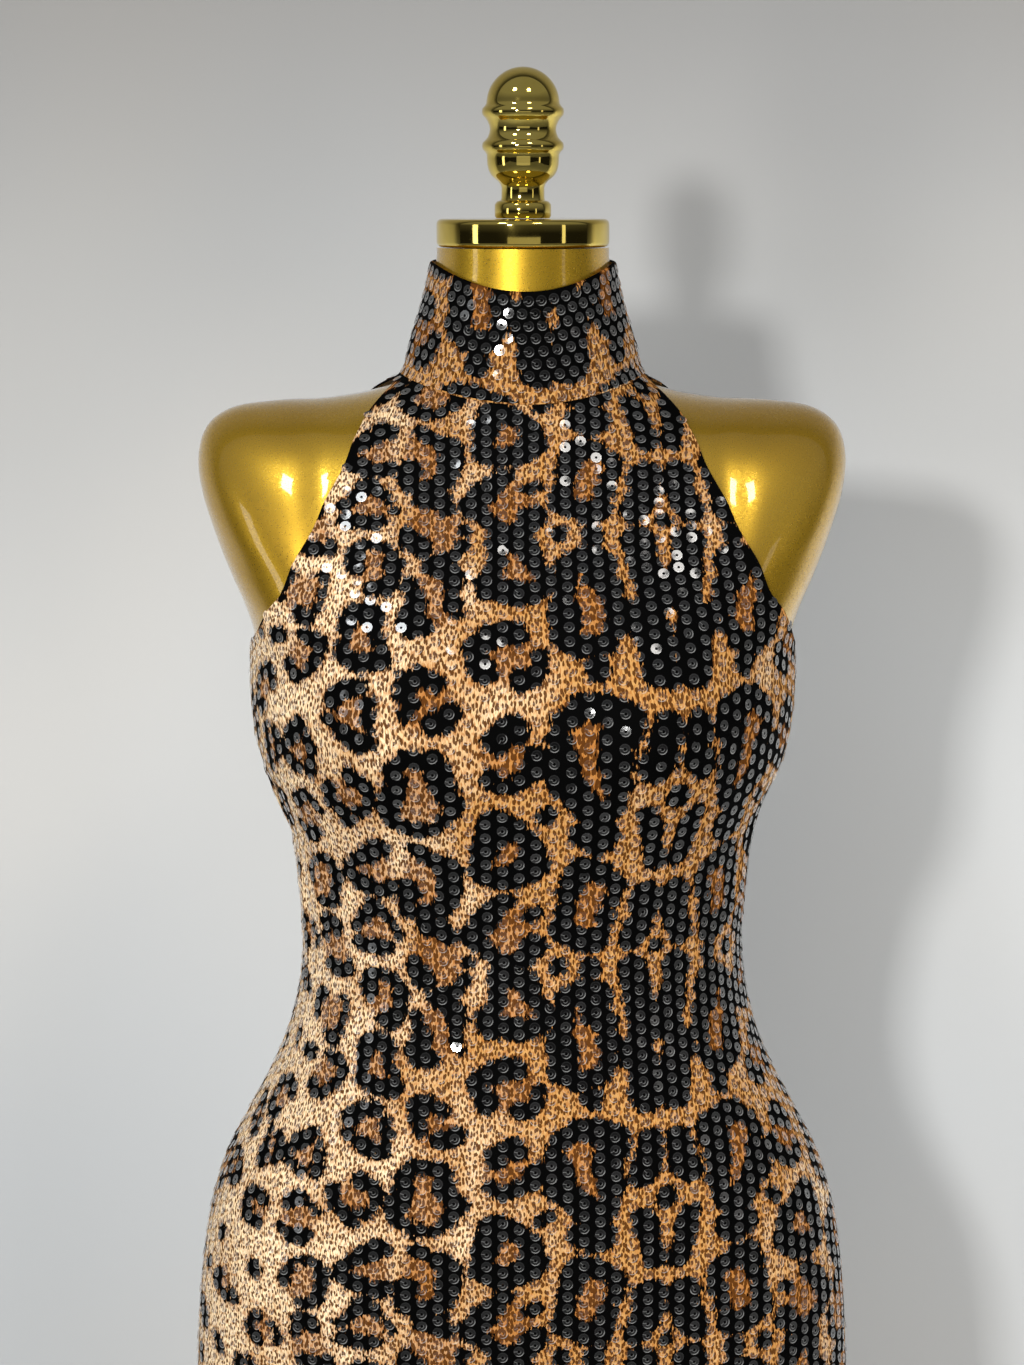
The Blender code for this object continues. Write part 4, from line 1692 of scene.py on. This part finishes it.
def sweep(path: np.ndarray, out: np.ndarray, radius: float, sides: int) -> tuple[np.ndarray, list]:
    """A round bead along a path with two ends.

    Args:
        path: The points of its middle line.
        out: The direction out of the cloth at each.
        radius: Its radius in metres.
        sides: How many faces go round it.

    Returns:
        Its points and faces, with closed ends.
    """
    along = unit(np.gradient(path, axis=0))
    side = unit(np.cross(along, out))
    up = np.cross(side, along)
    turns = (np.arange(sides) * 2 * math.pi / sides)[None, :, None]
    ring = np.cos(turns) * side[:, None] + np.sin(turns) * up[:, None]
    numbers = np.arange(len(path) * sides).reshape(len(path), sides)
    return path[:, None] + ring * radius, tube_faces(numbers)


@dataclass
class Trims:
    """The sewn details: the collar's seam, its three covered buttons and their loops.

    The buttons' own sizes are in millimetres, and all others in metres.
    """

    finishes: Finishes
    bead_sides: int = 8
    seam_steps: int = 240
    seam_radius: float = 0.6 * MM
    seam_opening: float = 1.2 * MM
    seam_down: float = 0.06
    seam_print: float = 0.05
    neck_radius: float = 0.065
    button_stations: tuple[float, ...] = (1.45, 2.45, 3.45)
    button_radius: float = 5.5
    button_drum: float = 1.5
    button_dome: float = 3.0
    button_foot: float = 4.7
    button_print: float = 0.09
    button_apart: float = 0.04
    loop_steps: int = 32
    loop_turn: float = 140
    loop_radius: float = 0.6 * MM
    loop_reach: float = 7.6 * MM
    loop_aside: float = 1.5 * MM
    loop_stand: float = 0.7 * MM
    loop_flatness: float = 0.8

    def collar_seam(self) -> Piece:
        """The rolled seam round the foot of the collar.

        Returns:
            The seam.
        """
        gap = self.seam_opening / DRESS.section(COLLAR_SEAM)[4]
        angles = np.linspace(-math.pi + gap, math.pi - gap, self.seam_steps + 1)
        station = np.full(len(angles), float(COLLAR_SEAM))
        out = DRESS.normal(station, angles)
        path = DRESS.point(station, angles) + out * (CLEAR_OF_FORM + CLOTH_WALL)
        points, faces = sweep(path, out, self.seam_radius, self.bead_sides)
        piece = mesh_piece("collar_seam_roll", points, faces, [self.finishes.cloth])
        across = np.repeat(angles * self.neck_radius, self.bead_sides)
        down = np.full(len(across), self.seam_down)
        give_print(piece, across, down, across + self.seam_print)
        plain_ground(piece)
        return enter(piece)

    def button(self, number: int, station: float) -> Piece:
        """One covered button, turned from its outline and set on the collar.

        Args:
            number: Which button it is, from the top.
            station: Where it is sewn on.

        Returns:
            The button.
        """
        t, a = np.full(1, station), np.full(1, math.pi)
        base, out = DRESS.point(t, a)[0], DRESS.normal(t, a)[0]
        side = np.array([1.0, 0.0, 0.0])
        outline = [TurnedPoint(self.button_foot, 0.0)]
        for share in (0.35, 1.0):
            outline.append(TurnedPoint(self.button_radius, share * self.button_drum))
        for turn in np.radians(np.arange(15, 91, 15)):
            radius = max(self.button_radius * math.cos(turn), TINY)
            rise = self.button_drum + self.button_dome * math.sin(turn)
            outline.append(TurnedPoint(radius, rise))
        turned = Turned(f"covered_button_{number}", tuple(outline), 0.0, 0.0, 32, 60)
        piece = turned.model(self.finishes.cloth)
        place = Matrix((side, np.cross(out, side), out)).transposed().to_4x4()
        place.translation = base + out * (CLEAR_OF_FORM + COLLAR_WALL + TOUCH_GAP)
        own = np.empty(3 * len(piece.data.vertices), np.float32)
        piece.data.vertices.foreach_get("co", own)
        piece.data.transform(place)
        across, down = own[0::3].astype(float), self.button_apart * number - own[1::3].astype(float)
        give_print(piece, across, down, across + self.button_print)
        plain_ground(piece)
        return enter(piece, f"collar_button_{number}")

    def loop(self, number: int, station: float) -> Piece:
        """The thread loop that holds a button, sewn into the collar's other end.

        Args:
            number: Which loop it is, from the top.
            station: Where its button is sewn on.

        Returns:
            The loop.
        """
        turns = np.linspace(-self.loop_turn, self.loop_turn, self.loop_steps + 1)
        turns = np.radians(turns)
        stations = station + np.sin(turns) * self.loop_reach / COLLAR_RISE * self.loop_flatness
        radius = DRESS.section(station)[4]
        angles = math.pi + (self.loop_aside + np.cos(turns) * self.loop_reach) / radius
        out = DRESS.normal(stations, angles)
        lift = CLEAR_OF_FORM + COLLAR_WALL + self.loop_stand
        path = DRESS.point(stations, angles) + out * lift
        points, faces = sweep(path, out, self.loop_radius, self.bead_sides)
        piece = mesh_piece(f"button_loop_{number}", points, faces, [self.finishes.thread])
        return enter(piece)

    def build(self) -> None:
        """Builds the sewn details."""
        self.collar_seam()
        for number, station in enumerate(self.button_stations, 1):
            self.button(number, station)
            self.loop(number, station)


@dataclass(frozen=True)
class TurnedPoint:
    """A point of a turned outline, in millimetres."""

    radius: float
    rise: float


FINIAL = tuple(
    TurnedPoint(radius, rise)
    for radius, rise in (
        *((15.0, 0), (15.8, 1.2), (15.9, 4.0), (15.8, 7.5), (14.6, 9.2), (12.4, 9.9)),
        *((12.1, 11.0), (12.0, 17.0), (12.6, 18.8), (14.0, 20.5), (16.0, 22.0), (17.8, 23.8)),
        *((19.2, 26.4), (20.0, 29.5), (20.2, 33.0), (20.3, 35.2), (21.2, 36.6), (22.5, 37.9)),
        *((22.9, 39.6), (22.6, 41.6), (21.2, 43.0), (19.8, 44.6), (18.8, 47.0), (18.5, 49.0)),
        *((18.8, 51.0), (19.8, 53.4), (21.2, 55.4), (22.6, 56.8), (23.0, 58.6), (22.7, 60.4)),
        *((21.4, 61.8), (20.6, 63.0)),
    )
)


@dataclass
class Turned:
    """A piece turned about an upright axis from its outline, bottom to top."""

    name: str
    outline: tuple[TurnedPoint, ...]
    foot: float
    centre_y: float = 0.0
    segments: int = 96
    smooth_angle: float = 40.0
    bevel: float = 0.0

    def model(self, finish: Material) -> Piece:
        """Extrudes a circle up the outline, ring by ring, and closes both ends.

        Args:
            finish: The finish.

        Returns:
            The piece.
        """
        bpy.ops.object.select_all(action="DESELECT")
        before = self.outline[0]
        bpy.ops.mesh.primitive_circle_add(
            vertices=self.segments,
            radius=before.radius * MM,
            fill_type="NGON",
            location=(0, self.centre_y, self.foot + before.rise * MM),
        )
        piece = bpy.context.object
        piece.name = piece.data.name = self.name
        bpy.ops.object.transform_apply(location=True, rotation=False, scale=False)
        bpy.ops.object.mode_set(mode="EDIT")
        bpy.ops.mesh.select_all(action="SELECT")
        for after in self.outline[1:]:
            rise, ratio = (after.rise - before.rise) * MM, after.radius / before.radius
            bpy.ops.mesh.extrude_region_move(TRANSFORM_OT_translate={"value": (0, 0, rise)})
            bpy.ops.transform.resize(
                value=(ratio, ratio, 1), center_override=(0, self.centre_y, 0)
            )
            before = after
        bpy.ops.mesh.select_all(action="SELECT")
        bpy.ops.mesh.normals_make_consistent(inside=False)
        bpy.ops.object.mode_set(mode="OBJECT")
        if self.bevel:
            soften = piece.modifiers.new("soft_edges", "BEVEL")
            soften.width, soften.segments = self.bevel, 3
            soften.limit_method = "ANGLE"
            soften.angle_limit = math.radians(self.smooth_angle)
            bpy.ops.object.modifier_apply(modifier="soft_edges")
        bpy.ops.object.shade_smooth_by_angle(angle=math.radians(self.smooth_angle))
        piece.data.materials.append(finish)
        return piece


def arc(
    radius: float, rise: float, size: float, start: float, end: float, steps: int
) -> tuple[TurnedPoint, ...]:
    """Points of a round corner, with the angles in degrees from outwards to up.

    Args:
        radius: How far from the axis the corner's centre is.
        rise: How high it is.
        size: The corner's radius.
        start: The first angle.
        end: The last angle.
        steps: How many steps to make.

    Returns:
        The points.
    """
    turns = np.radians(np.linspace(start, end, steps + 1))
    return tuple(
        TurnedPoint(max(radius + size * math.cos(a), TINY), rise + size * math.sin(a)) for a in turns
    )


@dataclass
class DressForm:
    """The limbless form with its neck plate, finial and stand.

    Sizes are in millimetres, and the groove's in metres.
    """

    finishes: Finishes
    columns: int = 168
    rows: int = 190
    plate_radius: float = 48.5
    plate_thickness: float = 15.6
    edge_round: float = 3.0
    base_radius: float = 150.0
    base_thickness: float = 10.0
    pole_radius: float = 15.0
    boss_radius: float = 32.0
    boss_height: float = 34.0
    boss_chamfer: float = 5.0
    boss_clear: float = 0.3
    socket_radius: float = 45.0
    socket_height: float = 16.0
    groove_x: float = 112 * MM
    groove_z: float = 1.335
    groove_width: float = 10 * MM
    groove_tall: float = 42 * MM
    groove_depth: float = 2.6 * MM
    dome: float = 20.4

    def groove(self, points: np.ndarray) -> np.ndarray:
        """How deep the soft hollow between the chest and the shoulder's end is.

        Args:
            points: Points of the torso, in metres.

        Returns:
            The depth in metres.
        """
        across = (np.abs(points[..., 0]) - self.groove_x) / self.groove_width
        down = (points[..., 2] - self.groove_z) / self.groove_tall
        return self.groove_depth * np.exp(-(across**2) - down**2)

    def torso(self) -> Piece:
        """Models the torso with its neck and rounded shoulder ends.

        Returns:
            The torso.
        """
        stations = np.linspace(0, len(FORM.table) - 1, self.rows + 1)
        angles = np.stack(
            [FORM.evenly(t, 0, 2 * math.pi, self.columns)[:-1] for t in stations]
        )
        t = np.repeat(stations[:, None], self.columns, 1)
        points = FORM.point(t, angles)
        points[..., 2] -= TOUCH_GAP
        points -= self.groove(points)[..., None] * FORM.normal(t, angles)
        faces = tube_faces(np.arange(t.size).reshape(t.shape))
        piece = mesh_piece(
            "form_body", points, faces, [self.finishes.lacquer], smooth_angle=math.radians(50)
        )
        return enter(piece, "form_torso")

    def turned(self) -> list[tuple[Turned, str]]:
        """The polished pieces above and below the torso, each with its node.

        Returns:
            Pairs of a piece, ready to model, and the node that it stands for.
        """
        r, thick = self.edge_round, self.plate_thickness
        inner = self.plate_radius - r
        plate = (*arc(inner, r, r, -90, 0, 6), *arc(inner, thick - r, r, 0, 90, 6))
        knob_foot = NECK_TOP_Z + thick * MM + TOUCH_GAP
        knob = (*FINIAL, *arc(0, FINIAL[-1].rise, self.dome, 4, 90, 22))
        base = (
            TurnedPoint(self.base_radius, 0),
            *arc(self.base_radius - r, self.base_thickness - r, r, 0, 90, 6),
        )
        boss_foot = self.base_thickness * MM + TOUCH_GAP
        form_foot = NECK_TOP_Z - TOUCH_GAP - FORM_BOTTOM[-1].side_drop * MM
        socket_foot = form_foot - TOUCH_GAP - self.socket_height * MM
        pole_top = (socket_foot - boss_foot) / MM
        boss, pole, socket = (
            tuple(TurnedPoint(radius, rise) for radius, rise in outline)
            for outline in (
                (
                    (self.boss_radius, 0),
                    (self.boss_radius, self.boss_height - self.boss_chamfer),
                    (self.boss_radius - self.boss_chamfer, self.boss_height),
                    (self.pole_radius + self.boss_clear, self.boss_height),
                ),
                ((self.pole_radius, 0), (self.pole_radius, pole_top)),
                ((self.socket_radius, 0), (self.socket_radius, self.socket_height)),
            )
        )
        return [
            (Turned("neck_plate_polished", plate, NECK_TOP_Z, NECK_CENTRE_Y, 160), "neck_plate"),
            (Turned("finial_turned", knob, knob_foot, NECK_CENTRE_Y, 128), "finial"),
            (Turned("base_disc", base, 0.0, 0.0, 192), "stand_base"),
            (Turned("boss_turned", boss, boss_foot, 0.0, 96, 30, 0.8 * MM), "stand_boss"),
            (Turned("pole_tube", pole, boss_foot, 0.0, 96), "stand_pole"),
            (Turned("socket_disc", socket, socket_foot, 0.0, 96, 30, 1.2 * MM), "form_socket"),
        ]

    def build(self) -> None:
        """Builds the form and its stand."""
        self.torso()
        for piece, node in self.turned():
            enter(piece.model(self.finishes.gold), node)


@dataclass
class Dress:
    """The dress: three panels, a collar, its buttons and all its sequins."""

    finishes: Finishes

    def build(self) -> None:
        """Builds every piece of the dress."""
        cuts = ((Side.FRONT, 156), (Side.BACK_RIGHT, 78), (Side.BACK_LEFT, 78))
        panels = [Panel(self.finishes, side, columns) for side, columns in cuts]
        front, right, left = [p.build() for p in panels]
        hems = [p.hem_stitches() for p in panels]
        top, split, low = COLLAR_SEAM + 0.14, 29, HEM - 0.03
        fields = (
            ("sequins_front_bodice", Side.FRONT, top, split, 11),
            ("sequins_front_skirt", Side.FRONT, split, low, 12),
            ("sequins_back_right", Side.BACK_RIGHT, top, low, 13),
            ("sequins_back_left", Side.BACK_LEFT, top, low, 14),
        )
        sewn = [SequinField(self.finishes, *f).build() for f in fields]
        collar = Collar(self.finishes)
        cloth = collar.build()
        around = collar.sequins()
        Trims(self.finishes).build()


@dataclass(frozen=True)
class SoftLight:
    """A soft rectangular light: where it stands and aims, its size, watts, colour and spread.

    The spread is in degrees. A light that isn't mirrored doesn't show in shiny things.
    """

    name: str
    place: Triple
    aim: Triple
    size: tuple[float, float]
    power: float
    colour: Triple
    spread: float = 180
    mirrored: bool = True

    def hang(self) -> None:
        """Adds the light to the scene."""
        lamp = bpy.data.lights.new(self.name, "AREA")
        lamp.shape = "RECTANGLE"
        lamp.size, lamp.size_y = self.size
        lamp.energy, lamp.color = self.power, self.colour
        lamp.spread = math.radians(self.spread)
        made = bpy.data.objects.new(self.name, lamp)
        bpy.context.scene.collection.objects.link(made)
        made.location = self.place
        made.visible_glossy, made.visible_camera = self.mirrored, False
        aim = Vector(self.aim) - Vector(self.place)
        made.rotation_euler = aim.to_track_quat("-Z", "Y").to_euler()


MIDDLE, LOW, HIP_WALL, CHEST = (0, 0, 1.2), (0.05, 0.2, 0.95), (0.4, 0.36, 0.95), (0, 0, 1.25)
WHITE, WARM, COOL = (1.0, 0.99, 0.97), (1.0, 0.96, 0.91), (0.95, 0.98, 1.0)
LIGHTS = (
    SoftLight("key", (-0.78, -2.3, 1.96), LOW, (0.2, 0.2), 10.2, WHITE, 85),
    SoftLight("ceiling_left", (-0.8, -1.2, 2.9), MIDDLE, (0.3, 0.3), 6, COOL),
    SoftLight("ceiling_right", (0.55, -1.4, 2.9), MIDDLE, (0.3, 0.3), 5, WARM),
    SoftLight("left_soft", (-1.5, -2.4, 1.3), LOW, (0.7, 0.9), 10.5, WHITE, 100, False),
    SoftLight("right_soft", (1.3, -2.5, 1.3), LOW, (0.9, 0.9), 4.0, WARM, 100, False),
    SoftLight("wall_wash", (1.15, -0.55, 1.0), HIP_WALL, (0.4, 1.2), 11, WHITE, 180, False),
    SoftLight("room_front", (0.0, -3.0, 0.85), CHEST, (2.4, 0.9), 2.6, WHITE),
    SoftLight("left_strip", (-2.1, -0.9, 1.4), MIDDLE, (0.3, 1.2), 3, COOL),
    SoftLight("right_strip", (1.9, -1.4, 1.5), MIDDLE, (0.2, 1.0), 0.7, WARM),
)


@dataclass
class Studio:
    """The plain wall and floor, the air round them and the camera. Sizes in metres."""

    camera_distance: float = 1.8
    camera_height: float = 1.520
    camera_turn: float = 1.5
    pitch: float = 9.103
    lens: float = 83.61
    sensor_width: float = 36
    axis_right_of_centre: float = 10.5
    focal_pixels: float = 3170.37
    wall_y: float = 0.36
    wall_size: float = 12.0
    # painted shade: the two heights between which the wall darkens towards its top, and by how much
    top_shade_from: float = 1.1
    top_shade_to: float = 1.85
    top_shade: float = 0.75

    def backdrop(self) -> None:
        """Builds the wall and the floor."""
        nodes = Nodes("pale_wall")
        cloud = nodes.noise(None, (1.6, 1.6, 1.6))
        shade = nodes.mix(nodes.ramp(cloud, 0.3, 0.7), srgb(185, 188, 190), srgb(194, 193, 190))
        height = nodes.add("ShaderNodeSeparateXYZ", {0: nodes.place(None)}).outputs[2]
        # Painted shade: the wall darkens to a grey-brown towards its top.
        top_shade = nodes.ramp(height, self.top_shade_from, self.top_shade_to, 0.0, self.top_shade)
        nodes.set(Base_Color=nodes.mix(top_shade, shade, srgb(96, 92, 88)), Roughness=0.7)
        self.open_from_behind(nodes)
        for name, place, turn in (
            ("studio_wall", (0, self.wall_y, self.wall_size / 2), (math.pi / 2, 0, 0)),
            ("studio_floor", (0, 0, 0), (0, 0, 0)),
        ):
            bpy.ops.object.select_all(action="DESELECT")
            bpy.ops.mesh.primitive_plane_add(size=self.wall_size, location=place, rotation=turn)
            bpy.ops.object.transform_apply(location=True, rotation=True, scale=True)
            sheet = bpy.context.object
            sheet.name = name
            sheet.data.materials.append(nodes.material)

    def open_from_behind(self, nodes: Nodes) -> None:
        """Leaves the wall's rear side open, so that the dress's back can be looked at.

        Args:
            nodes: The wall's material.
        """
        side = nodes.add("ShaderNodeNewGeometry").outputs["Backfacing"]
        clear = nodes.add("ShaderNodeBsdfTransparent").outputs[0]
        both = nodes.add("ShaderNodeMixShader", {0: side, 1: nodes.shader.outputs[0], 2: clear})
        nodes.feed(nodes.tree.nodes["Material Output"].inputs["Surface"], both.outputs[0])

    def air(self) -> None:
        """Sets the soft light from all round, darker below."""
        world = bpy.data.worlds.new("studio_air")
        world.use_nodes = True
        tree = world.node_tree
        direction = tree.nodes.new("ShaderNodeTexCoord")
        split = tree.nodes.new("ShaderNodeSeparateXYZ")
        shades = tree.nodes.new("ShaderNodeValToRGB")
        tree.links.new(direction.outputs["Generated"], split.inputs[0])
        tree.links.new(split.outputs["Z"], shades.inputs[0])
        tree.links.new(shades.outputs[0], tree.nodes["Background"].inputs[0])
        stops = ((0.0, (0.012, 0.012, 0.013, 1)), (0.5, (0.24, 0.245, 0.255, 1)))
        for element, (position, colour) in zip(shades.color_ramp.elements, stops):
            element.position, element.color = position, colour
        bpy.context.scene.world = world

    def camera(self) -> None:
        """Sets the camera where the photograph was taken from."""
        turn = math.radians(self.camera_turn)
        lens = bpy.data.cameras.new("camera")
        lens.lens, lens.sensor_width = self.lens, self.sensor_width
        made = bpy.data.objects.new("camera", lens)
        bpy.context.scene.collection.objects.link(made)
        away, height = self.camera_distance, self.camera_height
        made.location = (-away * math.sin(turn), -away * math.cos(turn), height)
        pan = math.atan(self.axis_right_of_centre / self.focal_pixels)
        made.rotation_euler = (math.radians(90 - self.pitch), 0, -turn + pan)
        bpy.context.scene.camera = made

    def build(self) -> None:
        """Builds the studio."""
        self.camera()
        self.backdrop()
        for light in LIGHTS:
            light.hang()
        self.air()
        bpy.context.scene.view_settings.view_transform = "Standard"


def main() -> None:
    """Builds the studio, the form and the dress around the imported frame."""
    logging.basicConfig(level=logging.INFO, format="%(name)s: %(message)s")
    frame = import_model()
    LOG.info("frame loaded: %d nodes", len(frame["nodes"]))
    bpy.ops.object.select_all(action="DESELECT")
    Studio().build()
    finishes = Finishes()
    DressForm(finishes).build()
    LOG.info("form and stand built")
    Dress(finishes).build()
    LOG.info("dress built")


if __name__ == "__main__":
    main()
